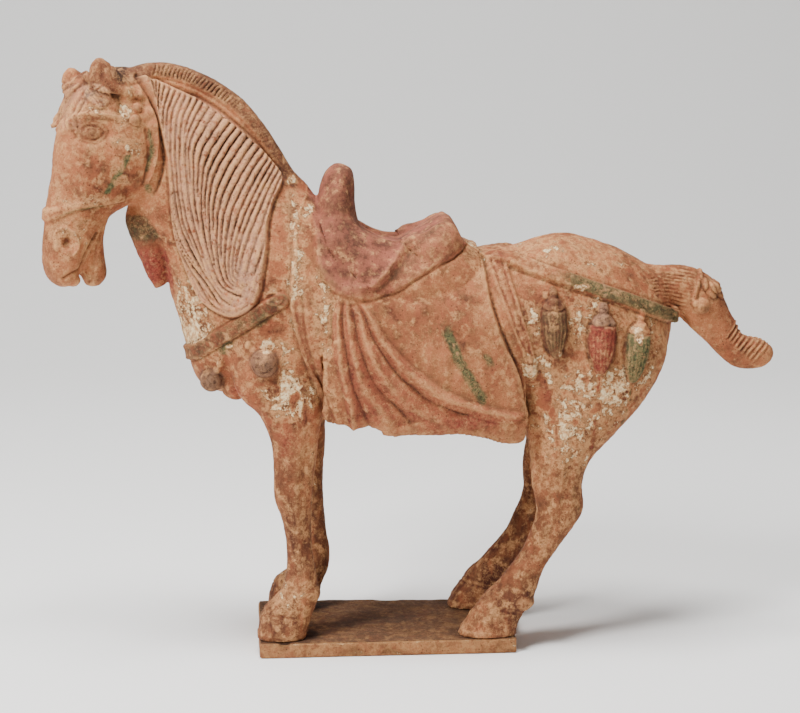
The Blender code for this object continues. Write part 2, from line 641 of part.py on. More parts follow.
def build_horse():
    limbs = [loft(trunk_rings), loft(tail_rings)]
    for side in (LEFT, RIGHT):
        for rings, back in ((foreleg_rings, far_foreleg_back), (hindleg_rings, far_hindleg_back)):
            points, faces = loft(rings, side)
            if side == RIGHT:
                points[:, 0] += np.interp(points[:, 2], *zip(*back))
            limbs.append((points, faces))
    for rings in (skull_rings, jaw_rings):
        points, faces = loft(rings)
        limbs.append((turn_head(points), faces))
    body = fuse(limbs, 8)
    tree = BVHTree.FromPolygons([v.co[:] for v in body.vertices], [tuple(p.vertices) for p in body.polygons])

    added = [as_shape(body), loft(crest_rings), loft(seat_rings), loft(pommel_rings), loft(cantle_rings),
             loft(pendant_rings)]
    for side in (LEFT, RIGHT):
        added.append(loft(flap_rings, side))
        x, y, z = ear_places[side]
        points, faces = loft(ear_rings, side, 2.0, 20)
        added.append((turn_head(points + (x, side * y, z)), faces))
        points, faces = loft(forelock_rings[side], side, 2.5, 20)
        added.append((turn_head(points), faces))
        for x, z in boss_places:
            local = np.array([[x, side * 20.0, z]])
            middle = turn_head(local)[0]
            reach = surface_y(tree, middle[0], middle[2], side)
            added.append(ball((middle[0], reach, z), [0.5 * BOSS_WIDTH / unit] * 3))
        for x, z, size in bell_places:
            y = surface_y(tree, x, z, side)
            radius = 0.5 * BELL_WIDTH / unit * size
            added.append(ball((x, y + side * 0.3 * radius, z), [radius] * 3))
        for x, z in knot_places:
            added.append(ball((x, surface_y(tree, x, z, side) + side * 0.6, z), (4.5, 4.0, 4.5)))
        for top, bottom, width in tassel_axes:
            added.append(tassel(tree, top, bottom, width, side))
        added.append(ball((202, side * 11.0, 198), (6.5, 5.0, 6.5)))
    added.append(ball((207, 0, 211), (5.5, 9.0, 4.5)))
    clay = fuse(added, 2)

    points = coordinates(clay)
    normals = np.empty(len(clay.vertices) * 3)
    clay.vertices.foreach_get("normal", normals)
    normals = normals.reshape(-1, 3)
    straight = turn_head(points, -HEAD_TURN)
    turned_normals = turn_head(normals + (HEAD_PIVOT, 0, 0), -HEAD_TURN) - (HEAD_PIVOT, 0, 0)
    height = body_carving(points, normals) + tassel_carving(points, normals)
    height += head_carving(straight, turned_normals)
    carved = points * unit + (0, 0, sole_height) + normals * height[:, None]
    clay.vertices.foreach_set("co", carved.ravel())
    clay.update()

    ratio = HORSE_FACES / sum(len(p.vertices) - 2 for p in clay.polygons)
    return evaluated(clay, ("TRIANGULATE", {}), ("DECIMATE", {"ratio": ratio}))


def cutter_box(name, low, high, collection):
    # a closed box between two corners, hidden from the model
    shape = bmesh.new()
    bmesh.ops.create_cube(shape, size=1.0)
    for vertex in shape.verts:
        vertex.co = [low[i] + (vertex.co[i] + 0.5) * (high[i] - low[i]) for i in range(3)]
    mesh = bpy.data.meshes.new(name)
    shape.to_mesh(mesh)
    shape.free()
    box = bpy.data.objects.new(name, mesh)
    box.hide_render = True
    box.display_type = "WIRE"
    collection.objects.link(box)
    return box


def material(name, colour, roughness):
    made = bpy.data.materials.new(name)
    made.use_nodes = True
    shader = made.node_tree.nodes["Principled BSDF"]
    shader.inputs["Base Color"].default_value = (*colour, 1.0)
    shader.inputs["Roughness"].default_value = roughness
    shader.inputs["Metallic"].default_value = 0.0
    return made


def build_slab(collection):
    # as long as the hooves' reach, flat below and worn along its edges
    front = foreleg_rings[-1].top[0] * unit + SLAB_SETBACK
    back = hindleg_rings[-1].bottom[0] * unit - SLAB_SETBACK
    side = (STANCE + HOOF_HALF) * unit + SLAB_MARGIN
    bpy.ops.mesh.primitive_cube_add(size=1.0)
    slab = bpy.context.object
    slab.name = slab.data.name = "base_slab"
    middle = 0.5 * (front + back)
    for vertex in slab.data.vertices:
        x, y, z = vertex.co
        vertex.co = (middle + x * (back - front), 2 * y * (side - x * SLAB_TAPER), (z + 0.5) * SLAB_THICKNESS)
    bevel = slab.modifiers.new("worn edges", "BEVEL")
    bevel.width = SLAB_EDGE
    bevel.segments = 2
    bpy.context.collection.objects.unlink(slab)
    collection.objects.link(slab)
    slab.data.materials.append(material("fired earthenware slab", (0.40, 0.21, 0.12), 0.9))
    return slab


def main():
    for thing in list(bpy.data.objects):
        bpy.data.objects.remove(thing, do_unlink=True)
    parts = bpy.data.collections.new("tomb figurine")
    cutters = bpy.data.collections.new("cutters")
    bpy.context.scene.collection.children.link(parts)
    bpy.context.scene.collection.children.link(cutters)

    mesh = build_horse()
    mesh.name = "horse"
    horse = bpy.data.objects.new("horse", mesh)
    parts.objects.link(horse)
    horse.data.materials.append(material("painted earthenware", (0.45, 0.20, 0.12), 0.85))
    reach = 2 * HORSE_HEIGHT
    floor = cutter_box("flat soles", (-reach, -reach, -0.05), (reach, reach, sole_height), cutters)
    cut = horse.modifiers.new("flat soles", "BOOLEAN")
    cut.operation = "DIFFERENCE"
    cut.object = floor
    build_slab(parts)
    for thing in parts.objects:
        thing.data.shade_smooth()
        thing.data.set_sharp_from_angle(angle=math.radians(50))


main()
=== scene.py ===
# Tomb figurine: a standing, saddled horse of moulded earthenware with worn cold paint, on a thin slab.
# The horse faces -X, so its left side faces -Y. One unit of the tables below is a millimetre:
# x along the horse, y across it, z above the soles.

import math
from collections import namedtuple
from functools import partial

import bmesh
import bpy
import numpy as np
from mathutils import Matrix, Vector
from mathutils.bvhtree import BVHTree
from mathutils.kdtree import KDTree


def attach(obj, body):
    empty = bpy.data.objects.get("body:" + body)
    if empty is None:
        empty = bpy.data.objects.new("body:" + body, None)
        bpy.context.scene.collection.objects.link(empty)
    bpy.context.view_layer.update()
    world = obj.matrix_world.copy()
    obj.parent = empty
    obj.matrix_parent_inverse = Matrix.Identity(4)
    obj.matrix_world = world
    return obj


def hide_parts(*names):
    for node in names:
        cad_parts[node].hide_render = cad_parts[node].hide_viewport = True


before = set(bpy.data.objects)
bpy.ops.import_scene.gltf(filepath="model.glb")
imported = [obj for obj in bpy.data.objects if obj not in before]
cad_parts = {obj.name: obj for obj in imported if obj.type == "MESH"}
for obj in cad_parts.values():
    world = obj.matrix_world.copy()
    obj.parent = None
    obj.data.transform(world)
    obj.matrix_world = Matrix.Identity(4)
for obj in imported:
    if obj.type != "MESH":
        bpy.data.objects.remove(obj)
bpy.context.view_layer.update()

unit = 0.001
slabThickness = 0.0098
seatGap = 0.0003
soleHeight = slabThickness + seatGap
stance = 32.0                  # y of the hooves' middles
hoofHalf = 14.5
headTurn = math.radians(22)    # towards the left side
headPivot = -146.0             # x of the upright axis that the head turns on
left, right = -1, 1

horseLook = {
    "bodyStep": 0.0013,        # voxel of the limbs before anything is added
    "clayStep": 0.00078,       # voxel of the finished clay
    "faces": 192000,
    "handSize": 14.0,          # unevenness left by the hand, mm
    "handDepth": 0.30,
    "wornSize": 3.6,
    "wornDepth": 0.16,
    "accretionDepth": 0.55,    # burial crust on the hooves
}


Ring = namedtuple("Ring", "top bottom half y crown keel")


def ring(top, bottom, half, y=0.0, crown=2.0, keel=2.0):
    # top and bottom are (x, z) on the outline, half is half the width across.
    # crown and keel shape the two halves of the section: 2 is an ellipse, less is pointed, more is square.
    return Ring(top, bottom, half, y, crown, keel)


def hermite(rows, knots, at):
    # the rows read as one smooth run at other places along their knots
    rows, knots, at = np.array(rows, float), np.array(knots, float), np.asarray(at, float)
    slopes = np.gradient(rows, knots, axis=0)
    i = np.clip(np.searchsorted(knots, at, side="right") - 1, 0, len(knots) - 2)
    span = (knots[i + 1] - knots[i])[:, None]
    t = (at - knots[i])[:, None] / span
    return ((2 * t**3 - 3 * t**2 + 1) * rows[i] + (t**3 - 2 * t**2 + t) * span * slopes[i]
            + (3 * t**2 - 2 * t**3) * rows[i + 1] + (t**3 - t**2) * span * slopes[i + 1])


def smoothRun(rows, step):
    # a smooth run through the rows, with a new row about every step
    rows = np.array(rows, float)
    gaps = np.linalg.norm(np.diff(rows[:, :2], axis=0), axis=1)
    knots = np.concatenate([[0], np.cumsum(np.sqrt(np.maximum(gaps, 1e-6)))])
    counts = [max(1, round(gap / step)) for gap in gaps]
    at = [knots[i] + (knots[i + 1] - knots[i]) * np.arange(count) / count for i, count in enumerate(counts)]
    return hermite(rows, knots, np.append(np.concatenate(at), knots[-1]))


def loft(rings, side=left, step=4.0, sides=28):
    # a closed tube through the rings, as (points in parts, faces); side mirrors it across the horse
    rows = smoothRun([(*r.top, *r.bottom, r.half, r.y, r.crown, r.keel) for r in rings], step)
    angle = np.linspace(0, 2 * math.pi, sides, endpoint=False)
    cos, sin = np.cos(angle), np.sin(angle)
    points = []
    for topX, topZ, lowX, lowZ, half, y, crown, keel in rows:
        power = 2 / np.where(cos >= 0, crown, keel)
        high = 0.5 + 0.5 * np.sign(cos) * np.abs(cos) ** power
        across = side * y + half * np.sign(sin) * np.abs(sin) ** power
        points += list(zip(lowX + (topX - lowX) * high, across, lowZ + (topZ - lowZ) * high))
    faces = []
    for i in range(len(rows) - 1):
        for j in range(sides):
            k = (j + 1) % sides
            faces.append((i * sides + j, i * sides + k, (i + 1) * sides + k, (i + 1) * sides + j))
    last = (len(rows) - 1) * sides
    faces.append(tuple(range(sides))[::-1])
    faces.append(tuple(range(last, last + sides)))
    return np.array(points), faces


def ball(centre, radii):
    # an ellipsoid, as (points in parts, faces)
    shape = bmesh.new()
    bmesh.ops.create_uvsphere(shape, u_segments=20, v_segments=12, radius=1.0)
    points = np.array([v.co[:] for v in shape.verts]) * radii + centre
    faces = [tuple(v.index for v in f.verts) for f in shape.faces]
    shape.free()
    return points, faces


def turnHead(points, turn=headTurn):
    # from the head's own straight frame to where it looks, or back with a negative turn
    c, s = math.cos(turn), math.sin(turn)
    x, y = points[:, 0] - headPivot, points[:, 1]
    return np.stack([headPivot + c * x - s * y, s * x + c * y, points[:, 2]], axis=1)


# The horse's body

trunkRings = [
    ring((178, 207), (175, 172), 14),
    ring((170, 219), (164, 148), 29),
    ring((153, 230.5), (146, 128), 39),
    ring((131, 240), (122, 122), 43.5),
    ring((106, 245), (100, 124), 45),
    ring((76, 236.5), (72, 129), 45, 0, 2.1),
    ring((57, 234), (54, 131), 45.5, 0, 2.2),
    ring((40, 230), (38, 131), 45.5, 0, 2.3),
    ring((12, 229), (12, 132), 46, 0, 2.3),
    ring((-18, 238), (-18, 134), 45.5, 0, 2.2),
    ring((-34, 256), (-48, 138), 43),
    ring((-43, 269), (-76, 141), 40),
    ring((-53, 276), (-98, 146), 38),
    ring((-61, 284), (-115, 154), 35, 0, 1.9),
    ring((-70, 294), (-122, 173), 31, 0, 1.8),
    ring((-81, 306), (-126.5, 192), 26.5, 0, 1.8),
    ring((-94, 318), (-132, 211), 23, 0, 1.8),
    ring((-110, 329), (-136, 231), 20, 0, 1.9),
    ring((-126, 338), (-148, 250), 18),
    ring((-140, 342), (-156, 266), 16.5),
    ring((-152, 340), (-165, 284), 13),
]

crestRings = [ring(top, bottom, half, 0, 3) for top, bottom, half in (
    ((-42, 268), (-58, 256), 5), ((-48, 276), (-66, 262), 5.5), ((-56, 284), (-76, 270), 6),
    ((-63, 296), (-84, 278), 6.5), ((-73.5, 312), (-94, 292), 7), ((-85.5, 327), (-105, 304), 7),
    ((-104, 340), (-119, 316), 6.5), ((-123, 348), (-132, 324), 6), ((-141, 350), (-143, 328), 5.5),
    ((-154, 347), (-151, 330), 4))]

forelegRings = [
    ring((-96, 205), (-44, 198), 13, 22),
    ring((-96, 172), (-40, 164), 15, 26.5),
    ring((-91, 151), (-39, 140), 14.5, 29),
    ring((-78, 138), (-42, 126), 13, 31),
    ring((-71, 120), (-44, 107), 11.5, stance),
    ring((-70, 99), (-46, 92), 10.8, stance),
    ring((-69.5, 87), (-47, 80), 11, stance, 2.4),
    ring((-65, 73), (-47, 66), 9.5, stance),
    ring((-62.5, 56), (-46, 51), 8.6, stance),
    ring((-63, 40), (-43.5, 36), 9.5, stance),
    ring((-67, 27), (-42.5, 25), 11.2, stance),
    ring((-76.5, 19), (-46, 16), 13, stance, 2.2, 2.2),
    ring((-80, 9), (-49, 6), hoofHalf, stance, 2.4, 2.4),
    ring((-81, -4), (-51, -4), hoofHalf, stance, 2.6, 2.6),
]

# the far legs stand further back than the near ones, by so much at each height
farForelegBack = [(-4, 7), (16, 7), (26, 7.5), (38, 10), (52, 10), (80, 9), (107, 7.5), (130, 6), (165, 0)]

farHindlegBack = [(-4, -1), (20, -3.5), (35, -2.5), (50, -1), (60, -2), (85, 0), (95, 2), (110, 5), (150, 0)]

hindlegRings = [
    ring((74, 205), (158, 202), 17, 20),
    ring((75, 176), (172.5, 180), 20.5, 24.5),
    ring((79, 146), (160, 147), 18.5, 27),
    ring((85.5, 124), (137, 121), 15.5, 29),
    ring((87, 110), (124.5, 108), 13, 31),
    ring((88, 94), (120, 94), 11.5, stance),
    ring((91, 77), (120.5, 77), 11, stance, 2, 1.8),
    ring((87.5, 63), (114, 66), 10, stance),
    ring((81, 50), (104, 52), 9, stance),
    ring((74, 40), (96.5, 40), 9.6, stance),
    ring((67, 31), (92, 27), 11, stance),
    ring((58, 22), (89.5, 19), 12.5, stance, 2.2, 2.2),
    ring((50, 11), (84, 12), 13.5, stance, 2.4, 2.4),
    ring((44, 2), (80, 4), hoofHalf, stance, 2.5, 2.5),
    ring((42, -4), (80, -4), hoofHalf, stance, 2.6, 2.6),
]

tailRings = [
    ring((156, 225), (158, 190), 12),
    ring((168, 225), (172, 193), 12),
    ring((178, 224.5), (180, 193), 12),
    ring((190, 223), (186, 189), 12),
    ring((199, 219), (189, 181), 12.5),
    ring((206, 213), (196, 174.5), 12.5),
    ring((212, 202), (202, 168), 11),
    ring((218, 190), (208, 162), 10.5),
    ring((227, 182.5), (216, 156.5), 10.5),
    ring((237, 181), (225, 154.5), 10),
    ring((245.5, 175), (235, 155.5), 8),
    ring((247, 167), (243, 160), 4),
]

skullRings = [
    ring((-148, 346), (-134, 324), 11),
    ring((-163, 348), (-131, 313), 15),
    ring((-178, 343), (-130, 302), 19, 0, 2.2, 2.2),
    ring((-190, 333), (-130, 293), 21.5, 0, 2.2, 2.2),
    ring((-198, 318), (-132, 283), 22, 0, 2.1, 2.2),
    ring((-202.5, 302), (-138, 274), 20, 0, 2.1, 2.1),
    ring((-205, 285), (-153, 266), 16.5),
    ring((-208.5, 268), (-169, 258), 13.5),
    ring((-210.5, 252), (-175, 246), 12.5),
    ring((-211.5, 238), (-180, 238), 13.5, 0, 2.2),
    ring((-210.5, 227), (-189, 226), 13, 0, 2.3),
    ring((-207, 220), (-193, 219), 11, 0, 2.3),
    ring((-203, 217), (-197, 217), 6),
]

jawRings = [
    ring((-182, 264), (-170, 258), 10),
    ring((-188, 248), (-174, 244), 9.5),
    ring((-188.5, 234), (-173, 233), 9),
    ring((-188, 223), (-172, 222), 9),
    ring((-185, 216), (-176.5, 216), 5.5),
]

earRings = [
    ring((-182, 334), (-151, 328.5), 7.5),
    ring((-184, 340), (-157, 335.5), 6.8),
    ring((-184, 345.5), (-163, 341.6), 5.6),
    ring((-182.5, 350), (-169.5, 348.2), 4.0),
    ring((-179.5, 353), (-176, 352.6), 1.6),
]

# the ears of the two sides differ in place: (x, y, z) from the rings above
earPlaces = {left: (0, 13, 1), right: (-9, 13, -6)}

# the forelock is parted: the left lobe is combed back over the brow, the right one hangs down
forelockRings = {
    left: [
        ring((-185, 344), (-182, 336), 5, 5),
        ring((-177, 344.5), (-174, 334), 5.5, 11),
        ring((-168, 341), (-166, 330), 5, 15.5),
        ring((-161, 336), (-160, 330), 3, 17.5),
    ],
    right: [
        ring((-181, 346), (-175, 340), 5, 2),
        ring((-189, 340), (-182, 333), 7, 5),
        ring((-193, 330), (-187, 325), 7.5, 8),
        ring((-197, 319), (-191, 317), 5.5, 11),
        ring((-199, 312), (-195, 311), 3, 12),
    ],
}

seatFoot = 172                 # z of the seat's underside, inside the trunk
seatRings = [ring((x, z), (x, seatFoot), half, 0, 2.5, 2.5) for x, z, half in (
    (-28, 262, 34), (-14, 249.5, 37.5), (-4, 243.5, 38.5), (8, 241.5, 39), (21, 243.5, 38.5), (34, 246, 37),
    (46, 243, 35), (55, 238, 32))]

pommelRings = [
    ring((-43, 204), (-6, 204), 27, 0, 2.2, 2.2),
    ring((-45, 220), (-6, 220), 34.5, 0, 2.4, 2.2),
    ring((-45, 236), (-9, 236), 33, 0, 2.4, 2.2),
    ring((-44, 254), (-16.5, 253), 27, 0, 2.4, 2.2),
    ring((-41.5, 268), (-18.5, 266), 21, 0, 2.2, 2.2),
    ring((-38.5, 279), (-18.5, 277), 16.5),
    ring((-34, 286), (-20.5, 285.5), 11.5),
    ring((-30, 288.5), (-25, 288), 5),
]

cantleRings = [
    ring((12, 206), (50, 208), 24),
    ring((6, 226), (50, 224), 32),
    ring((8, 240), (48, 239), 33, 0, 2, 2.4),
    ring((14.5, 245), (46, 244), 32, 0, 2, 2.4),
    ring((21.5, 249), (44.5, 248.3), 29, 0, 2, 2.4),
    ring((28, 253.2), (42, 252.6), 24, 0, 2, 2.4),
    ring((33.5, 256.8), (39.5, 256.2), 14),
]

# the saddlecloth's hanging edge, one plate each side, thick at the hem
flapRings = [
    ring((-38, 180), (-38, 139), 2.0, 42, 2, 3),
    ring((-30, 190), (-30, 137.5), 3.6, 42.5, 2, 3),
    ring((-12, 190), (-12, 136.5), 4.4, 43, 2, 3),
    ring((12, 190), (12, 134), 4.8, 43, 2, 3),
    ring((36, 190), (36, 134), 5.0, 43, 2, 3),
    ring((58, 190), (58, 130), 5.0, 42.5, 2, 3),
    ring((74, 180), (74, 126), 4.4, 42, 2, 3),
    ring((83, 160), (83, 130), 2.5, 41.5, 2, 3),
]

pendantRings = [
    ring((-156, 266), (-147, 269), 5),
    ring((-158.5, 256), (-142, 258), 8),
    ring((-155, 243), (-137, 247), 9.5),
    ring((-149.5, 229), (-133, 235), 9),
    ring((-145, 218.5), (-132.5, 225), 6),
    ring((-141, 212), (-134, 215), 3),
]


# Lines of the carving in side view, as (x, z)

maneFront = [(-149, 342), (-145, 336), (-140, 326), (-136, 311), (-132, 296), (-131, 284), (-130, 264),
             (-128, 247), (-123, 231), (-118, 218), (-112, 208), (-104, 202)]
maneTip = [(-104, 202), (-93, 199), (-83, 203.5), (-78, 211)]
maneBack = [(-63, 280), (-68.5, 267), (-71.5, 255), (-72.5, 240), (-74.5, 226), (-78, 211)]
maneRoot = [(-149, 342), (-137, 338.7), (-123, 332.4), (-106, 324.5), (-91, 313), (-80, 303), (-71, 292),
            (-63, 280)]
# the lie of the strands, as (strand number, line from its root down)
strandLines = [
    (0, [(-148, 342), (-142, 329), (-138, 315), (-134, 298), (-132, 277), (-130, 258), (-125, 240),
         (-113, 220), (-104, 206), (-92, 199)]),
    (7, [(-127, 332), (-131, 321), (-131.5, 307), (-131, 292), (-129, 274), (-126, 256), (-119, 238),
         (-105, 218), (-98, 208.5), (-88, 203)]),
    (10, [(-117, 328), (-122, 316), (-123.6, 302), (-124, 288), (-122, 270), (-118.5, 253), (-112.5, 237),
          (-102, 216), (-95.5, 209.5), (-86.5, 206)]),
    (13, [(-106, 323), (-113, 312), (-118, 300), (-118, 286), (-116.5, 268), (-113, 250), (-108, 234),
          (-101, 217), (-93.5, 211.5), (-85, 208.5)]),
    (15.5, [(-95, 316), (-104, 304), (-110, 292), (-112, 278), (-112, 262), (-109.5, 246), (-105.5, 232),
            (-99.5, 217.6), (-92, 213), (-84, 210.5)]),
    (18, [(-86, 309), (-95, 298), (-103, 284), (-106.5, 269), (-106.5, 254), (-105, 240), (-102.5, 228),
          (-98, 218.2), (-91, 214.4), (-83.3, 212.3)]),
    (20.5, [(-78, 301), (-88, 288), (-95.5, 274), (-99.5, 261), (-100.8, 248), (-100.5, 236), (-99, 226),
            (-96, 219), (-89.5, 216), (-82.5, 214)]),
    (23, [(-71.5, 293), (-80, 280), (-87, 266), (-91.5, 253), (-94, 241), (-95, 230), (-93, 221),
          (-87.5, 218), (-81.5, 216)]),
    (26, [(-66, 285), (-73, 271), (-79, 258), (-83.5, 246), (-87, 234), (-90, 219)]),
    (28, [(-63, 278), (-68.5, 262), (-72.5, 248), (-77, 233), (-82, 219)]),
]
crevice = [(-149, 343), (-145, 335), (-140.5, 325), (-136.5, 312), (-134.5, 300), (-134.5, 288), (-138, 276),
           (-143, 268)]
crestLine = [(-154, 347), (-141, 350), (-123, 348), (-104, 340), (-85.5, 327), (-72.5, 313), (-62, 297),
              (-55, 285), (-48, 277)]

clothFront = [(-49, 275), (-56, 256), (-57, 235), (-59, 214), (-57, 196), (-52, 178), (-46, 161), (-40, 146),
               (-37, 136)]
clothHem = [(-37, 136), (-15, 133), (6, 131), (31, 131), (55, 128), (70, 126), (79, 127)]
clothRear = [(79, 127), (83, 137), (81, 151), (78, 164), (71, 180), (65, 195), (61, 210), (59, 225),
              (56, 240), (52, 256)]
flapEdge = [(-46, 262), (-44, 243), (-43, 231), (-38.5, 221.5), (-32, 214.5), (-23.5, 211), (-12, 209.5),
            (4, 214.5), (13, 219.5), (25, 226.5), (40, 234), (48.5, 241), (53, 254)]
seatEdge = [(-47, 262), (-45, 243), (-44, 231), (-39, 222), (-32.5, 216), (-24, 213), (-14.5, 213.5),
            (-2.5, 221), (8.5, 231.5), (22, 245), (34, 256), (44, 268)]
borderLine = [(-51.5, 213), (-50, 192.6), (-44.5, 170.7), (-36, 148), (-32, 137)]
# the gathered folds, as (ridge number, line from the knot down)
foldLines = [
    (-0.7, [(-31, 214), (-34.5, 197), (-34, 178), (-30, 160), (-27, 147), (-26, 134)]),
    (0, [(-29, 213), (-30.5, 196), (-29.8, 184), (-27, 164), (-21.5, 140), (-19, 130)]),
    (1, [(-26.5, 213), (-24.6, 198), (-22, 182), (-14, 156), (-1.5, 139), (3, 130)]),
    (2, [(-23.5, 213), (-17.8, 200), (-13.5, 185), (-2, 163.6), (13.6, 148), (34, 136)]),
    (3, [(-20, 212), (-12, 199), (-4, 184.5), (9.5, 169.4), (29, 154), (48, 145), (74, 139)]),
    (3.7, [(-16, 211), (-6, 198), (2, 186), (15, 173), (34, 159), (52, 150), (80, 143)]),
]
bandLine = [(63, 243), (66, 232), (68.5, 223), (73, 209), (79, 191.5), (84.5, 176), (87, 164)]
breastStrap = [(-129, 170), (-119.5, 174), (-102, 186), (-85, 197), (-73, 205), (-64, 210)]
crupperStrap = [(52, 239), (62, 234), (76, 231), (92, 226), (116, 218), (140.5, 209.3), (163, 200.5),
                (180, 193)]
strapLoop = (-69, 211)

tendonLines = [
    [(-50, 118), (-52, 92), (-51, 70), (-50, 48)],
    [(112, 112), (109, 92), (104, 74), (92, 52)],
]
tailCord = [(196.2, 221), (193.4, 214), (191, 207), (190.4, 201)]
tailHair = [(0, [(156, 226), (168, 226), (180, 225.5), (194, 223)]), (5, [(160, 212), (170, 211),
            (181, 209), (192, 206)]), (10, [(164, 196), (172, 194), (180, 192), (188, 188)])]
bowLeaves = [((200.2, 210.5), (7.0, 3.0), -1.0), ((206, 209), (7.0, 2.6), -0.85), ((196.6, 214),
             (4.6, 2.0), -1.3)]
ridgeStart, ridgeFoot = (217.5, 186.8), (210.6, 179.4)    # upper and lower end of the first ridge of the tail

# Lines of the head, in its straight frame

nosebandLine = [(-216, 258), (-209.5, 260.5), (-203, 263.3), (-193.5, 266.3), (-178, 268.6), (-165, 270)]
browLine = [(-199, 311), (-196.5, 315.5), (-193, 319), (-188.6, 321), (-182.8, 321), (-176, 320.4),
            (-169, 319)]
browCrease = [(-191, 316.6), (-184.7, 318.2), (-178.3, 317.9), (-173, 317.6)]
upperLid = [(-193.5, 310.5), (-190.3, 314.2), (-185.6, 315.8), (-180.6, 314.6), (-176.8, 311)]
lowerLid = [(-193.5, 310.5), (-190.8, 307), (-186.2, 305), (-181.5, 305.4), (-176.8, 309.6)]
throatBand = [(-151, 340), (-149.4, 334), (-147.3, 324), (-145.6, 311), (-145.9, 299), (-147.7, 287),
              (-150.6, 278)]
cheekHollow = [(-153.2, 311), (-151.8, 302), (-152, 290), (-153.8, 279)]
cheekKnobs = [(-150.5, 321, 3.2), (-149, 312.5, 3.4), (-150.4, 303.5, 2.6)]
earRoot = [(-172, 333.5), (-168.3, 331), (-167.2, 325.5), (-169.6, 319.8)]
nostrilRim = [(-205.7, 240.6), (-206.2, 246.5), (-205, 252), (-202.5, 253.4), (-198.1, 252.6), (-194.4, 247.8),
              (-193.8, 241.8), (-197, 237.4)]
mouthLine = [(-203, 223.4), (-197.7, 226.6), (-192.5, 228), (-189.7, 235), (-185.5, 242.4), (-180.6, 249.3)]
jawCrease = [(-175.7, 254), (-180.3, 241.8), (-182.6, 229.7), (-184.3, 219)]
forelockLines = [
    (0, [(-181, 350), (-192, 345), (-201, 336), (-207, 323), (-208, 311)]),
    (6, [(-180, 336), (-185, 331.5), (-189.5, 325), (-192, 318), (-192.5, 311)]),
]
nearLock = [(-185.8, 337.5), (-186.4, 331), (-183, 326.5), (-179, 323.6), (-174.5, 327), (-172, 333),
            (-176.5, 337), (-182.3, 339.2)]
cheekMiddle, cheekRadius = (-155, 300), 23.5
eye = (-185.5, 310.4)
nostril = (-200.2, 244.6)
bossPlaces = [(-155.4, 331.3, 0.85), (-157.4, 324.4, 0.85), (-159.2, 317, 0.85)]
mouthBalls = [(-194.5, -4, 221, (4.2, 7.0, 4.0)), (-200.5, -6, 250, (5.0, 6.0, 9.0)),
              (-200.5, 6, 250, (5.0, 6.0, 9.0))]
crupperKnot = (177, 196)
tailBows = [((203.5, -5, 211), (4.6, 5.5, 4.0)), ((203.5, 5, 211), (4.6, 5.5, 4.0))]
# each bell as (x, z, size), and the link that it hangs from
bellPlaces = [((-75, 172.5, 1.1), (-84.5, 182.5)), ((-107, 158, 0.95), (-101.6, 169.5))]
redTuft = (-92.5, 153, 8.6)    # between the bells
tasselAxes = [((99, 217), (100.5, 174), 0.97), ((130.5, 207), (127.5, 164), 1.06), ((154.5, 201),
              (148, 158), 0.95)]
tasselProfile = [(0.0, 0.16), (0.07, 0.34), (0.15, 0.34), (0.2, 0.62), (0.3, 0.92), (0.45, 1.0),
                  (0.62, 0.98), (0.8, 0.78), (0.92, 0.5), (1.0, 0.22)]


# Measuring against the lines of the carving

def nearest(points, path, reach=14.0):
    # distance to a smooth line through path, and how far along it, for points within reach of its box
    line = smoothRun(path, 2.5)
    best = np.full(len(points), 1e3)
    along = np.zeros(len(points))
    near = np.all((points > line.min(axis=0) - reach) & (points < line.max(axis=0) + reach), axis=1)
    some, gapSome, alongSome = points[near], best[near], along[near]
    done = 0.0
    for start, end in zip(line[:-1], line[1:]):
        span = end - start
        length = np.hypot(*span)
        offset = some - start
        t = np.clip(offset @ span / length**2, 0, 1)
        gap = np.hypot(offset[:, 0] - t * span[0], offset[:, 1] - t * span[1])
        closer = gap < gapSome
        gapSome[closer] = gap[closer]
        alongSome[closer] = (done + t * length)[closer]
        done += length
    best[near], along[near] = gapSome, alongSome
    return best, along


def inside(points, outline):
    # distance within a closed outline, negative outside it
    closed = list(outline) + [outline[0]]
    line = smoothRun(closed, 2.5)
    hit = np.zeros(len(points), bool)
    x, z = points[:, 0], points[:, 1]
    for (x0, z0), (x1, z1) in zip(line[:-1], line[1:]):
        if z0 == z1:
            continue
        crosses = (z0 > z) != (z1 > z)
        hit ^= crosses & (x < (x1 - x0) * (z - z0) / (z1 - z0) + x0)
    gap, _ = nearest(points, closed)
    return np.where(hit, np.minimum(gap, 60), -gap)


def rise(values, start, end):
    # 0 below start, 1 above end, smooth between
    t = np.clip((values - start) / (end - start), 0, 1)
    return t * t * (3 - 2 * t)


def stroke(points, path, half, soft=0.8):
    # 1 on the line, 0 beyond half its width
    gap, _ = nearest(points, path, half + soft + 1)
    return 1 - rise(gap, half - soft, half + soft)


def dome(points, centre, radii, tilt=0.0, power=1.5):
    # 1 at the centre, 0 at the ellipse's edge
    c, s = math.cos(tilt), math.sin(tilt)
    x, z = points[:, 0] - centre[0], points[:, 1] - centre[1]
    far = ((c * x + s * z) / radii[0]) ** 2 + ((c * z - s * x) / radii[1]) ** 2
    return np.clip(1 - far, 0, 1) ** power


def grain(points, size, seed=0):
    # smooth noise from -1 to 1, with features of about this size
    q = points / size + 31.7 * seed
    cell = np.floor(q).astype(np.int64)
    part = q - cell
    part = part * part * (3 - 2 * part)
    total = np.zeros(len(points))
    for corner in range(8):
        step = np.array([corner & 1, corner >> 1 & 1, corner >> 2 & 1])
        key = ((cell + step) * (73856093, 19349663, 83492791)).sum(axis=1) + seed * 7919
        key = (key ^ (key >> 13)) * 1274126177 & 0xFFFFFFFF
        key = (key ^ (key >> 15)) * 2246822519 & 0xFFFFFFFF
        weight = np.prod(np.where(step, part, 1 - part), axis=1)
        total += weight * ((key >> 8 & 0xFFFF) / 32767.5 - 1)
    return total


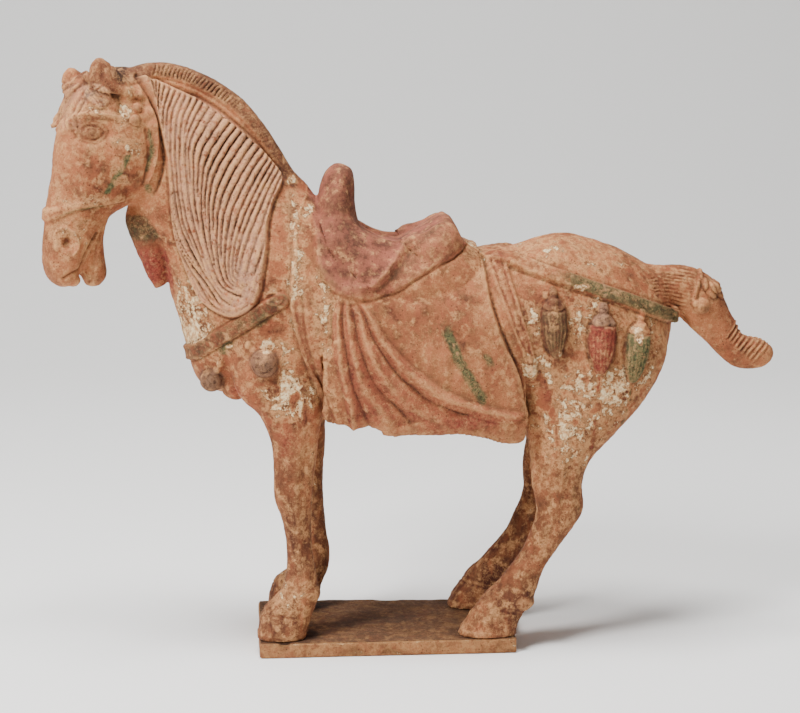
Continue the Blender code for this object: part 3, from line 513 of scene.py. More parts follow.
def alongLine(path, shares):
    # points at even shares of the way along a smooth line
    line = smoothRun(path, 2.0)
    way = np.concatenate([[0], np.cumsum(np.linalg.norm(np.diff(line, axis=0), axis=1))])
    return np.stack([np.interp(shares * way[-1], way, line[:, k]) for k in (0, 1)], axis=1)


def fanNumber(points, fan):
    # where points lie in a fan of lines: the line's number, the share of the way down it from 0 to 1, and the
    # distance in mm from one whole number to the next there
    numbers = [number for number, _ in fan]
    shares, at = np.linspace(0, 1, 61), np.linspace(numbers[0], numbers[-1], 161)
    rows = [alongLine(line, shares).ravel() for _, line in fan]
    grid = hermite(rows, numbers, at).reshape(len(at), len(shares), 2)
    slopeAcross, slopeDown = np.gradient(grid, at, shares, axis=(0, 1))
    flat = grid.reshape(-1, 2)
    tree = KDTree(len(flat))
    for i, (x, z) in enumerate(flat):
        tree.insert((x, z, 0), i)
    tree.balance()
    found = np.array([tree.find((x, z, 0))[1] for x, z in points])
    i, j = found // len(shares), found % len(shares)
    u, v = slopeAcross[i, j], slopeDown[i, j]
    rest = points - flat[found]
    turn = u[:, 0] * v[:, 1] - u[:, 1] * v[:, 0]
    turn = np.where(np.abs(turn) < 1e-3, 1e-3, turn)
    step = (rest[:, 0] * v[:, 1] - rest[:, 1] * v[:, 0]) / turn
    down = (u[:, 0] * rest[:, 1] - u[:, 1] * rest[:, 0]) / turn
    pitch = np.abs(turn) / (np.linalg.norm(v, axis=1) + 1e-6)
    far = np.linalg.norm(rest, axis=1)
    return at[i] + np.clip(step, -1, 1), shares[j] + np.clip(down, -0.1, 0.1), pitch, far


def band(values, middle, half, soft=0.8):
    # 1 within half of the middle, 0 beyond
    return rise(-np.abs(values - middle), -half - soft, -half + soft)


def combed(number, pitch, width, finest):
    # 1 in the middle of the cuts that a comb leaves at whole numbers; where they crowd, every second one ends
    cut = np.zeros(len(number))
    for step in (1, 2, 4, 8):
        apart = np.abs(np.mod(number / step + 0.5, 1) - 0.5) * step * pitch
        shown = rise(pitch * step, 0.75 * finest, 1.1 * finest)
        cut = np.maximum(cut, (1 - rise(apart, 0.15 * width, width)) * shown)
    return cut


def borderX(z):
    # x of the saddlecloth's border at each height
    return np.interp(z, [spot[1] for spot in borderLine[::-1]], [spot[0] for spot in borderLine[::-1]])


def cutIn(height, groove, line, depth, stainAndShade):
    # a line cut by the depth in mm, and marked in the mask of the grooves, which the paint darkens with dirt
    # and painted shade
    height -= line * depth
    np.maximum(groove, line * stainAndShade, out=groove)


# knobs of the fetlocks: (x, z), (reach), rise in mm, side; and the lines where the hooves begin
fetlocks = [((-44.5, 27), (5, 5), 1.2, left), ((84, 20), (7, 5), 2.6, left), ((49.5, 33), (6, 5.5), 1.8, right),
            ((-65, 24), (6, 5), 1.0, left), ((84, 24), (6, 5), 1.5, right), ((66, 24), (7, 5), 0.8, left)]
coronets = [((-79, 16.5), (-50, 13)), ((55, 19), (84, 12)), ((48, 16.5), (70, 12))]

maneLook = {
    "relief": 3.4,         # the whole mane above the neck, mm
    "strandDepth": 1.75,
    "cutWidth": 1.15,      # half the width of a cut
    "closest": 2.1,        # the closest that two cuts come
    "lineDepth": 0.3,      # fine scratches between the cuts
    "crestLines": 55,      # short cuts across the hogged crest
    "crestDepth": 1.0,
}

clothLook = {
    "relief": 2.8,         # saddlecloth above the flank, mm
    "flapRelief": 1.3,
    "seatRelief": 1.9,
    "foldRelief": 3.2,
    "hemRelief": 3.2,
    "bandRelief": 1.8,
}

strapLook = {
    "half": 4.3,           # half the width of the breast strap and crupper, mm
    "relief": 1.9,
}

tailLook = {
    "hairDepth": 0.55,
    "ridgePitch": 2.9,     # mm
    "ridges": 9,
    "ridgeHeight": 0.55,
}


def carveMane(points, flank, height, paint):
    flat = points[:, [0, 2]]
    x, y, z = points.T
    near = (x < -52) & (x > -158) & (z > 190)
    flatNear, pointsNear, side = flat[near], points[near], flank[near]
    mane = np.full(len(points), -50.0)
    mane[near] = inside(flatNear, maneFront + maneTip[1:] + maneBack[-2::-1] + maneRoot[-2:0:-1])
    edge = mane[near]
    number, share, pitch, _ = fanNumber(flatNear, strandLines)
    number += 0.22 * grain(pointsNear, 22, 3) + 0.07 * grain(pointsNear, 5, 13)
    which = np.round(number)
    uneven = 0.9 + 0.25 * np.sin(which * 12.9898) + 0.35 * grain(pointsNear, 9, 4)
    ends = 0.96 + 0.04 * np.sin(which * 7.13)
    show = rise(edge, 0.9, 2.2) * rise(ends - share, 0.0, 0.05) * side
    cut = combed(number, pitch, maneLook["cutWidth"], maneLook["closest"])
    fine = (combed(2 * number + 0.5, 0.5 * pitch, 0.5, 1.1)
            * rise(grain(pointsNear, 12, 14), -0.3, 0.3) * (1 - cut))
    height[near] += side * rise(edge, -0.8, 1.6) * maneLook["relief"]
    lower = rise(-z[near], -262, -235)
    height[near] += band(edge, 4.5, 1.0, 3.2) * lower * side * 0.9
    height[near] -= show * cut * maneLook["strandDepth"] * uneven
    height[near] -= show * fine * maneLook["lineDepth"]
    groove = show * rise(cut, 0.45, 1.0) * np.clip(uneven, 0.2, 1.1) * 0.7 + show * fine * 0.15
    for gap in (3.4, 6.6, 9.4):                # strands that curl along the mane's lower edge
        line = band(edge + 0.6 * grain(pointsNear, 12, 15), gap, 0.3, 0.7) * rise(share, 0.5, 0.75) * side
        line *= (0.75 + 0.5 * grain(pointsNear, 8, 28)) * rise(-z[near], -236, -214)
        height[near] -= line * 0.9
        groove = np.maximum(groove, line * 0.45)
    paint["groove"][near] = groove
    paint["mane"] = rise(mane, -0.5, 1.5) * flank
    rim = band(mane, -1.2, 0.4, 1.0) * flank
    height -= rim * 0.7
    paint["groove"] = np.maximum(paint["groove"], rim * rise(-z, -330, -250) * 0.25)
    # painted shade in the crevice behind the cheek, along with the cut
    gap = stroke(flat, crevice, 1.1, 1.1) * rise(np.abs(y), 5, 9) * rise(z, 262, 280)
    cutIn(height, paint["groove"], gap, 1.9, 0.4)

    gap, along = nearest(flat, crestLine)
    share = along / along.max()
    worn = (1 - 0.75 * rise(share, 0.42, 0.62)) * rise(-share, -0.86, -0.7) * rise(share, 0.06, 0.12)
    worn *= 0.8 + 0.5 * grain(points, 8, 16)
    lean = 0.12 * gap + 1.3 * grain(points, 10, 5)
    notch = rise(np.cos(2 * math.pi * (share * maneLook["crestLines"] + lean)), 0.1, 0.9)
    zone = band(gap + 0.7 * grain(points, 3, 29), 4.9, 3.0, 0.8) * rise(np.abs(y), 1.0, 3.0) * worn
    height -= zone * notch * maneLook["crestDepth"]
    below = band(gap, 9.8, 0.6, 1.0) * rise(np.abs(y), 3, 5) * rise(z, 266, 280) * (mane < 1)
    height -= below * 0.8
    paint["groove"] = np.maximum(paint["groove"], np.maximum(zone * notch * 0.9, below * 0.2))
    paint["crest"] = rise(-gap, -9.5, -7.5) * (z > 262) * (x < -50) * (share < 0.98)


def carveCloth(points, flank, height, paint):
    flat = points[:, [0, 2]]
    x, y, z = points.T
    cloth = inside(flat, [(-49, 300)] + clothFront + clothHem[1:] + clothRear[1:] + [(52, 300)])
    onCloth = rise(cloth, -0.8, 0.8) * flank * rise(-z, -262, -240)
    height += onCloth * clothLook["relief"]
    gap, _ = nearest(flat, clothHem, 20)
    width = np.interp(x, [-37, 0, 25, 50, 80], [3, 4.5, 9, 12.5, 11])
    roll = np.sqrt(np.clip(1 - np.clip((gap - 0.2 * width) / (0.8 * width), 0, 1) ** 2, 0, 1))
    height += roll * rise(cloth, -1, 1) * rise(-gap, -20, -19) * flank * clothLook["hemRelief"]
    hem = roll * rise(cloth, -1, 1) * rise(width, 6, 11)
    rolled = band(cloth, 1.6, 0.3, 1.2) * rise(-x, 12, 26) * flank
    height += rolled * 0.9
    line = stroke(flat, borderLine, 0.7, 1.0) * rise(cloth, 0, 2) * flank
    cutIn(height, paint["groove"], line, 0.9, 0.15)
    flap = inside(flat, flapEdge + [(54, 300), (-48, 300)])
    below = rise(-flap, -0.5, 1.0)

    near = (cloth > -3) & (x < 84) & (z < 216)
    number, share, pitch, far = fanNumber(flat[near], foldLines)
    number += 0.10 * grain(points[near], 18, 17)
    aside = 2 * np.abs(np.mod(number + 0.5, 1) - 0.5)         # 0 on a fold's back, 1 in the valley beside it
    reach = rise(number, -0.66, -0.4) * rise(-number, -3.56, -3.3) * rise(-far, -4, -1) * rise(share, 0, 0.1)
    tall = np.clip(pitch / 9, 0.45, 1.15)
    small = 0.10 * np.cos(4 * math.pi * number + 3 * grain(points[near], 20, 18))
    swell = np.zeros(len(points))
    swell[near] = reach * tall * (1.15 - aside**1.9 + small + 0.12 * grain(points[near], 7, 30))
    height += swell * rise(cloth, -1, 2) * below * flank * clothLook["foldRelief"] * (1 - 0.6 * hem)
    inFold, valley, crown = np.zeros((3, len(points)))
    inFold[near] = reach
    valley[near] = reach * rise(aside, 0.6, 1.0) * 0.35 * (0.8 + 0.6 * grain(points[near], 9, 34))
    crown[near] = reach * rise(-aside, -0.3, -0.02)
    paint["groove"] = np.maximum(paint["groove"], valley * below)
    knot = dome(flat, (-23, 212), (8.5, 5.5), -0.1, 0.7) * flank
    height += knot * 1.8
    seam = rise(cloth, -1, 2) * below
    paint["cloth"], paint["fold"], paint["hem"] = onCloth * below, inFold * seam, hem * below
    paint["crown"] = crown * seam
    paint["border"] = rise(cloth, 0, 1) * rise(borderX(z) - x, -1, 1) * rise(-z, -216, -196) * flank

    height += rise(flap, -0.7, 0.7) * flank * clothLook["flapRelief"] * rise(-z, -262, -250)
    seat = inside(flat, seatEdge + [(44, 300), (-50, 300)])
    height += rise(seat, -1.2, 2.6) * flank * clothLook["seatRelief"] * rise(-z, -256, -240)
    roll = band(seat, 1.6, 1.4, 3.0) * rise(x, -24, -8) * rise(-z, -260, -248) * rise(np.abs(y), 6, 16)
    height += roll * 3.0 * flank
    # where the paint lays shade under the seat's rolled edge
    paint["roll"] = band(seat, -2.4, 1.4, 2.2) * rise(x, -20, -4) * rise(-z, -262, -252)
    # painted shadow in the cut under the flap's edge
    under = band(flap, -1.2, 0.2, 1.0) * flank * rise(-z, -250, -240) * rise(x, -30, -10)
    cutIn(height, paint["groove"], under, 0.8, 0.3)
    paint["saddle"] = rise(flap, -0.5, 1.0) * rise(z, 205, 212)
    paint["flap"] = rise(flap, -0.5, 1.0) * rise(-seat, -1, 1)
    # painted shadow in the cut behind the cloth's rear edge
    behind = band(cloth, -1.6, 0.5, 1.5) * flank * (x > 40) * rise(-z, -222, -195)
    cutIn(height, paint["groove"], behind, 1.5, 0.6)

    gap, along = nearest(flat, bandLine)
    half = np.interp(along, [0, 80], [6.6, 3.0])
    onBand = rise(half - gap, -0.6, 0.9) * rise(-cloth, 0.5, 2) * rise(np.abs(y), 12, 18)
    height += onBand * clothLook["bandRelief"] * rise(flank, 0.1, 0.8)
    line = band(gap + 0.5 * grain(points, 8, 31), 0.45 * half, 0.3, 0.9) * onBand
    cutIn(height, paint["groove"], line, 1.3, 0.25)
    paint["band"] = onBand
    return cloth


def carveStraps(points, flank, cloth, height, paint):
    flat = points[:, [0, 2]]
    x, y, z = points.T
    half = strapLook["half"]
    gap, _ = nearest(flat, breastStrap)
    strap = rise(half - gap, -0.6, 0.6) * rise(-cloth, 0, 1.5) * (x < -50)
    edging = band(gap, half - 1.0, 0.2, 0.8) * 0.5
    raised = strap * (strapLook["relief"] + edging + 0.45 * grain(points, 3.0, 19))
    height[:] = np.where(strap > 0, np.maximum(height, raised), height)
    paint["strap"] = strap
    over = band(gap, half + 1.2, 0.2, 0.9) * (x < -64) * (z > 165) * flank
    cutIn(height, paint["groove"], over, 0.6, 0.3)
    hoop = np.sqrt(1 - dome(flat, strapLoop, (7.0, 5.0), -0.15, 1.0)) * flank + (1 - flank)
    height += band(hoop, 0.72, 0.06, 0.16) * 1.3 - rise(-hoop, -0.55, -0.2) * 0.6

    gap, _ = nearest(flat, crupperStrap)
    strap = rise(half - 0.5 - gap, -0.6, 0.6) * rise(x, 50, 56) * rise(-x, -182, -178)
    bulge = np.sqrt(np.clip(1 - (gap / half) ** 2, 0, 1))
    raised = strap * (strapLook["relief"] * (0.3 + 0.5 * flank + 0.6 * bulge) + 0.3 * grain(points, 3.0, 20))
    raised += strap * clothLook["bandRelief"] * flank * rise(-x, -84, -78)
    height[:] = np.where(strap > 0, np.maximum(height, raised), height)
    paint["crupper"] = strap
    under = band(gap, half + 0.8, 0.2, 1.0) * rise(x, 66, 80) * rise(-x, -176, -170) * flank
    under *= rise(-z, -245, -235) * rise(z, 120, 150)
    cutIn(height, paint["groove"], under, 0.8, 0.3)


def carveTail(points, height, paint):
    flat = points[:, [0, 2]]
    x, y, z = points.T
    near = (x > 154) & (x < 198) & (z > 184)
    number, share, pitch, far = fanNumber(flat[near], tailHair)
    number += 0.30 * grain(points[near], 12, 7) + 0.15 * grain(points[near], 4, 32)
    show = rise(share, 0.04, 0.16) * rise(-share, -0.97, -0.90) * rise(-far, -3, -1)
    cut = combed(1.5 * number, pitch / 1.5, 0.75, 1.1) * show * (0.65 + 0.9 * grain(points[near], 6, 21))
    height[near] -= cut * tailLook["hairDepth"]
    paint["groove"][near] = np.maximum(paint["groove"][near], cut * 0.4)
    height += stroke(flat, tailCord, 1.1, 0.7) * (x > 180) * 1.3
    beside = band(nearest(flat, tailCord)[0], 2.2, 0.1, 0.7) * rise(np.abs(y), 2, 5) * (x > 180)
    cutIn(height, paint["groove"], beside, 0.5, 0.35)
    for centre, radii, tilt in bowLeaves:
        leaf = dome(flat, centre, radii, tilt, 0.45) * rise(np.abs(y), 1, 4)
        rim = (band(dome(flat, centre, np.array(radii) * 1.35, tilt, 1.0), 0.22, 0.1, 0.16)
               * rise(np.abs(y), 1, 4))
        height += leaf * 1.3 - rim * 0.4
        paint["groove"] = np.maximum(paint["groove"], rim * (1 - leaf) * 0.6)
    away = 0.73 * (x - ridgeStart[0]) - 0.68 * (z - ridgeStart[1])
    outward = 0.68 * (x - ridgeFoot[0]) + 0.73 * (z - ridgeFoot[1])
    turn = away / tailLook["ridgePitch"] + 0.12 * grain(points, 6, 22)
    zone = (rise(outward, -0.5, 2.0) * rise(turn, -0.6, -0.2)
            * rise(-turn, -tailLook["ridges"], -tailLook["ridges"] + 1))
    ridge = np.cos(2 * math.pi * turn) * zone * (x > 200)
    height += ridge * tailLook["ridgeHeight"]
    # painted shade in the valleys and painted highlight on the crests of the tail's ridges
    paint["groove"] = np.maximum(paint["groove"], rise(-ridge, 0.2, 0.9) * 0.4)
    paint["pale"] = rise(ridge, 0.1, 0.8)
    spot = dome(flat, (197, 198), (3.0, 3.0), 0, 0.3) * rise(np.abs(y), 9, 12)
    rim = band(np.hypot(x - 195.3, z - 200), 5.6, 0.1, 0.7) * rise(np.abs(y), 7, 10)
    height -= rim * 0.4
    paint["groove"] = np.maximum(paint["groove"], np.maximum(spot * 1.1, rim * 0.5))


def bodyCarving(points, normals):
    # (relief in mm, paint masks) at each point of the body
    flat = points[:, [0, 2]]
    x, y, z = points.T
    flank = rise(np.abs(normals[:, 1]), 0.15, 0.5)
    height = np.zeros(len(points))
    paint = {"groove": np.zeros(len(points))}
    carveMane(points, flank, height, paint)
    cloth = carveCloth(points, flank, height, paint)
    carveStraps(points, flank, cloth, height, paint)
    carveTail(points, height, paint)
    height -= rise(x, 150, 168) * rise(-np.abs(y), -9, -2) * rise(-z, -190, -180) * 5    # cleft of the rump
    for line in tendonLines:
        height -= stroke(flat, line, 2.6, 2.6) * flank * 1.4
    hoof = rise(-z, -30, -14)
    for centre, radii, tall, side in fetlocks:
        height += dome(flat, centre, radii, 0.0, 0.9) * tall * (side * y > 0)
    for (startX, startZ), (endX, endZ) in coronets:
        middle = (0.5 * (startX + endX), 0.5 * (startZ + endZ) + 0.6)
        line = stroke(flat, [(startX, startZ), middle, (endX, endZ)], 0.5, 1.2)
        cutIn(height, paint["groove"], line, 0.7, 0.2)
    height += hoof * horseLook["accretionDepth"] * (grain(points, 5.5, 8) + 0.6 * grain(points, 2.6, 9))
    height += band(z, 3, 0.5, 1.5) * 0.5 * (1 + grain(points, 6, 10))
    return height, paint


tasselLook = {
    "width": 16.0,
    "ribs": 7,
    "ribDepth": 0.6,
    "ringDepth": 1.0,
}


def tasselCarving(points):
    # ribs down the lower part of each tassel, under a ring, in mm, and each tassel's mask
    flat = points[:, [0, 2]]
    height = np.zeros(len(points))
    groove = np.zeros(len(points))
    masks = []
    for top, bottom, width in tasselAxes:
        top, bottom = np.array(top, float), np.array(bottom, float)
        axis = bottom - top
        share = (flat - top) @ axis / (axis @ axis)
        aside = ((flat - top) @ (axis[1], -axis[0])) / np.linalg.norm(axis)
        half = 0.5 * tasselLook["width"] * width
        profile = np.interp(share, *zip(*tasselProfile), left=0, right=0) * half
        within = rise(-np.abs(aside) + profile, -1.6, 0.6) * rise(np.abs(points[:, 1]), 30, 34)
        turn = tasselLook["ribs"] * aside / (2 * profile + 1.0) + 0.15 * grain(points, 8, 23)
        ribs = rise(np.cos(2 * math.pi * turn), -0.2, 0.9) * (0.7 + 0.5 * grain(points, 5, 24))
        ribs = ribs * within * rise(share, 0.34, 0.42) * rise(-share, -0.95, -0.85)
        cutIn(height, groove, ribs, tasselLook["ribDepth"], 0.3)
        for edge, deep in ((0.13, 0.6), (0.31, 1.0)):
            hoop = within * band(share + 0.03 * grain(points, 5, 25), edge, 0.012, 0.018)
            height -= hoop * tasselLook["ringDepth"] * deep
            groove = np.maximum(groove, hoop * 0.6 * deep)
        lobes = (within * band(share, 0.225, 0.05, 0.03)
                 * rise(np.cos(2 * math.pi * aside / (0.95 * half)), -0.6, 0.6))
        height += lobes * 0.7
        outline = (rise(-np.abs(np.abs(aside) - profile - 0.8), -1.7, -0.3)
                   * rise(share, 0.1, 0.2) * rise(-share, -1.02, -0.9))
        outline *= rise(np.abs(points[:, 1]), 28, 32)
        height -= outline * 0.5
        # painted shadow: the groove around each tassel is marked darker on its right side than on its left
        groove = np.maximum(groove, outline * np.where(aside < 0, 0.2, 0.5))
        masks.append(within)
        masks.append(within * rise(-share, -0.33, -0.29))
    return height, groove, masks


headLook = {
    "cheekRise": 1.8,
    "bandRise": 2.2,
    "hollowDepth": 1.5,
    "browRise": 2.7,
    "lidRise": 1.2,
    "eyeRise": 3.3,
    "socketDepth": 3.0,
    "rimRise": 1.3,
    "nostrilDepth": 3.0,
    "mouthDepth": 1.8,
    "hairDepth": 0.9,
    "lockRise": 1.2,
}


def headCarving(points, normals):
    # relief of the head, given in its own straight frame, in mm, and its paint masks
    flat = points[:, [0, 2]]
    x, y, z = points.T
    # the head's own part of the clay, without the neck behind the cheek and the pendant below the jaw
    head = rise(-x, 138, 146) * rise(z, 200, 206) * rise(-x + 0.3 * z, 215, 225)
    head *= 1 - rise(-z, -261, -257) * rise(x, -170, -167)
    cheek = rise(np.abs(normals[:, 1]), 0.25, 0.6)
    height = np.zeros(len(points))
    groove = np.zeros(len(points))
    reach = np.hypot(x - cheekMiddle[0], (z - cheekMiddle[1]) * 0.85)
    height += rise(-reach, -cheekRadius, -cheekRadius + 7) * rise(x, -182, -162) * cheek * headLook["cheekRise"]
    height += stroke(flat, throatBand, 2.4, 2.2) * cheek * headLook["bandRise"]
    cut = stroke(flat, cheekHollow, 0.8, 1.8) * cheek
    cutIn(height, groove, cut, headLook["hollowDepth"], 0.35)
    bosses = np.zeros(len(points))
    for knobX, knobZ, radius in cheekKnobs:
        height += dome(flat, (knobX, knobZ), (radius, radius * 1.2), 0, 0.8) * cheek * 1.3
    for bossX, bossZ, size in bossPlaces:
        rim = band(np.hypot(x - bossX, z - bossZ), 3.4 * size, 0.1, 0.6) * cheek
        cutIn(height, groove, rim, 0.6, 0.4)
        bosses = np.maximum(bosses, dome(flat, (bossX, bossZ), (3.2, 3.2), 0, 0.4) * cheek)
    cut = stroke(flat, earRoot, 1.4, 2.2) * cheek
    cutIn(height, groove, cut, 1.6, 0.35)

    height += stroke(flat, browLine, 1.4, 1.8) * cheek * headLook["browRise"]
    cut = stroke(flat, browCrease, 0.4, 1.2) * cheek
    cutIn(height, groove, cut, 0.8, 0.2)
    height -= dome(flat, (eye[0], eye[1] - 0.5), (12, 8.2), 0.05) * cheek * headLook["socketDepth"]
    height += dome(flat, eye, (7.0, 4.6), 0.05, 0.9) * cheek * headLook["eyeRise"]
    for lid, share in ((upperLid, 1.0), (lowerLid, 0.6)):
        height += stroke(flat, lid, 0.5, 0.8) * cheek * headLook["lidRise"] * share
    pupil = band(np.hypot(x - eye[0] - 0.6, z - eye[1] - 0.1), 2.2, 0.1, 0.5) * cheek
    cutIn(height, groove, pupil, 0.35, 0.15)
    for lid, gap in ((upperLid, 1.5), (lowerLid, 1.3)):
        line = band(nearest(flat, lid)[0], gap, 0.1, 0.8) * cheek
        cutIn(height, groove, line, 0.4, 0.12)
    socket = dome(flat, eye, (11, 7.4), 0.05, 0.6) * cheek

    height += dome(flat, (-199, 243), (11, 15), 0.25) * cheek * 1.8
    height += stroke(flat, nostrilRim, 0.9, 1.0) * cheek * headLook["rimRise"]
    height -= dome(flat, nostril, (5.6, 7.0), -0.35, 0.8) * cheek * 1.2
    pit = dome(flat, nostril, (3.2, 4.4), -0.35, 0.9) * cheek
    height -= pit * headLook["nostrilDepth"]
    ripple = band(np.hypot((x - nostril[0]) * 1.25, z - nostril[1]), 7.2, 0.2, 0.9) * cheek
    cutIn(height, groove, ripple, 0.5, 0.15)
    height -= dome(flat, (-196, 285), (7, 26)) * cheek * 1.4
    mouth = stroke(flat, mouthLine, 0.6, 1.3) * cheek
    crease = stroke(flat, jawCrease, 0.5, 1.3) * cheek
    height -= mouth * headLook["mouthDepth"] + crease * 0.9
    groove = np.maximum(groove, np.maximum(mouth * 0.3, crease * 0.15))
    gap, _ = nearest(flat, nosebandLine)
    half = np.interp(x, [-212, -203, -178], [3.4, 2.6, 2.2]) + 0.4 * grain(points, 7, 26)
    noseband = rise(half - gap, -0.9, 1.0)
    height += noseband * headLook["bandRise"] * np.interp(x, [-212, -200], [0.9, 0.6])
    middle = np.interp(x, *zip(*nosebandLine))
    edge = band(gap, half + 1.1, 0.1, 0.8) * cheek * rise(middle - z, -0.5, 1.0)
    height -= edge * 0.6
    groove = np.maximum(groove, edge * 0.35 * rise(x, -206, -196))

    lobe, cut = np.zeros((2, len(points)))
    near = (z > 306) & (z < 350) & (x < -172)
    number, _, pitch, far = fanNumber(flat[near], forelockLines)
    number += 0.25 * grain(points[near], 9, 11)
    lobe[near] = rise(-far, -2.5, -0.8) * rise(z[near], 309, 314) * rise(-z[near], -341, -336)
    cut[near] = combed(number, pitch, 0.9, 1.5) * lobe[near]
    cutIn(height, groove, cut, headLook["hairDepth"], 0.3)
    lock = rise(inside(flat, nearLock), -0.6, 1.2) * cheek
    height += lock * headLook["lockRise"]
    lie = 0.88 * x + 0.48 * z + 0.8 * grain(points, 8, 27)
    cut = rise(np.cos(2 * math.pi * lie / 1.9), 0.2, 0.9) * lock
    height -= cut * 0.35
    lockEdge = band(inside(flat, nearLock), -0.7, 0.2, 0.7) * cheek
    groove = np.maximum(groove, np.maximum(cut * 0.35, lockEdge * 0.6))
    earHollow = dome(flat, (-178, 345), (2.6, 7.0), -0.15) * (normals[:, 0] < 0.2)
    height -= earHollow * 1.0
    masks = {"bosses": bosses, "noseband": noseband, "nostril": pit, "mouth": mouth, "hair": lobe,
             "lock": lock, "socket": socket, "groove": groove, "earHollow": earHollow}
    masks = {name: mask * head for name, mask in masks.items()}
    masks["head"] = head
    return height * head, masks


# Building the clay

def join(shapes):
    # one mesh from several (points in mm, faces), set at its real size and height
    mesh = bpy.data.meshes.new("clay")
    points, faces = [], []
    for shapePoints, shapeFaces in shapes:
        start = len(points)
        points += [(x * unit, y * unit, soleHeight + z * unit) for x, y, z in shapePoints]
        faces += [tuple(start + i for i in face) for face in shapeFaces]
    mesh.from_pydata(points, [], faces)
    return mesh


def evaluated(mesh, *modifiers):
    # the mesh with modifiers applied, each given as (kind, settings)
    holder = bpy.data.objects.new("holder", mesh)
    bpy.context.scene.collection.objects.link(holder)
    for kind, settings in modifiers:
        modifier = holder.modifiers.new(kind, kind)
        for name, value in settings.items():
            setattr(modifier, name, value)
    graph = bpy.context.evaluated_depsgraph_get()
    result = bpy.data.meshes.new_from_object(holder.evaluated_get(graph))
    bpy.data.objects.remove(holder)
    return result


def vectors(mesh, name):
    # one vector for each point of the mesh
    found = np.empty(len(mesh.vertices) * 3)
    mesh.vertices.foreach_get(name, found)
    return found.reshape(-1, 3)


def inTable(mesh):
    # the mesh's points in the units of the tables
    return (vectors(mesh, "co") - (0, 0, soleHeight)) / unit


def fuse(shapes, step, smoothing):
    mesh = join(shapes)
    cleaned = bmesh.new()
    cleaned.from_mesh(mesh)
    bmesh.ops.recalc_face_normals(cleaned, faces=cleaned.faces)
    cleaned.to_mesh(mesh)
    cleaned.free()
    return evaluated(mesh, ("REMESH", {"mode": "VOXEL", "voxel_size": step, "adaptivity": 0.0}),
                     ("SMOOTH", {"factor": 0.5, "iterations": smoothing}))


def asShape(mesh):
    return inTable(mesh), [tuple(p.vertices) for p in mesh.polygons]


def surfaceY(tree, x, z, side):
    # y of the body's side surface at (x, z), in mm
    start = Vector((x * unit, side * 0.2, soleHeight + z * unit))
    hit = tree.ray_cast(start, Vector((0, -side, 0)))[0]
    return hit.y / unit


def relaxed(mesh, points, shares, chosen=None):
    # the points, or the chosen ones, moved towards their neighbours' middle by each share in turn
    edges = np.empty(len(mesh.edges) * 2, np.int64)
    mesh.edges.foreach_get("vertices", edges)
    edges = edges.reshape(-1, 2)
    if chosen is not None:
        edges = edges[chosen[edges].all(axis=1)]
    used, flatEdges = np.unique(edges, return_inverse=True)
    a, b = flatEdges.reshape(-1, 2).T
    count = np.bincount(a, minlength=len(used)) + np.bincount(b, minlength=len(used))
    some = points[used]
    for share in shares:
        for k in range(3):
            column = some[:, k]
            total = (np.bincount(a, weights=column[b], minlength=len(used))
                     + np.bincount(b, weights=column[a], minlength=len(used)))
            some[:, k] = (1 - share) * column + share * total / count
    smooth = points.copy()
    smooth[used] = some
    return smooth


def hollows(mesh, points, rounds):
    # how far each point lies below (+) or above (-) its surroundings, in mm
    return ((relaxed(mesh, points, [0.6] * rounds) - points) * vectors(mesh, "normal")).sum(axis=1)


def mend(clay):
    # the seams of the saddle, withers and poll are smoothed over by hand
    points = inTable(clay)
    x, y, z = points.T
    flat = points[:, [0, 2]]
    saddle = rise(inside(flat, flapEdge + [(56, 300), (-52, 300)]), -6, 3) * rise(z, 200, 212)
    saddle += dome(flat, (20, 213), (52, 17), 0.1, 0.4)
    withers = dome(flat, (-50, 268), (17, 17), 0, 0.6)
    poll = dome(flat, (-152, 341), (13, 10), 0, 0.6)
    weight = np.clip(saddle + withers + poll, 0, 1)[:, None]
    smooth = relaxed(clay, points, [0.62, -0.6] * 60, weight[:, 0] > 0)
    clay.vertices.foreach_set("co", ((points + weight * (smooth - points)) * unit + (0, 0, soleHeight)).ravel())
    clay.update()


def tassel(tree, top, bottom, width, side):
    # a teardrop under a knob, half sunk in the haunch
    half = 0.5 * tasselLook["width"] * width
    top, bottom = np.array(top), np.array(bottom)
    rings = []
    for share, radius in tasselProfile:
        middle = top + (bottom - top) * share
        y = surfaceY(tree, *middle, side)
        rings.append(ring((middle[0] - half * radius, middle[1]), (middle[0] + half * radius, middle[1]),
                          max(0.8 * half * radius, 1.2), abs(y) + 1.6))
    return loft(rings, side, 1.5, 28)


ornamentLook = {
    "bellWidth": 15.0,
    "bossWidth": 6.2,
}


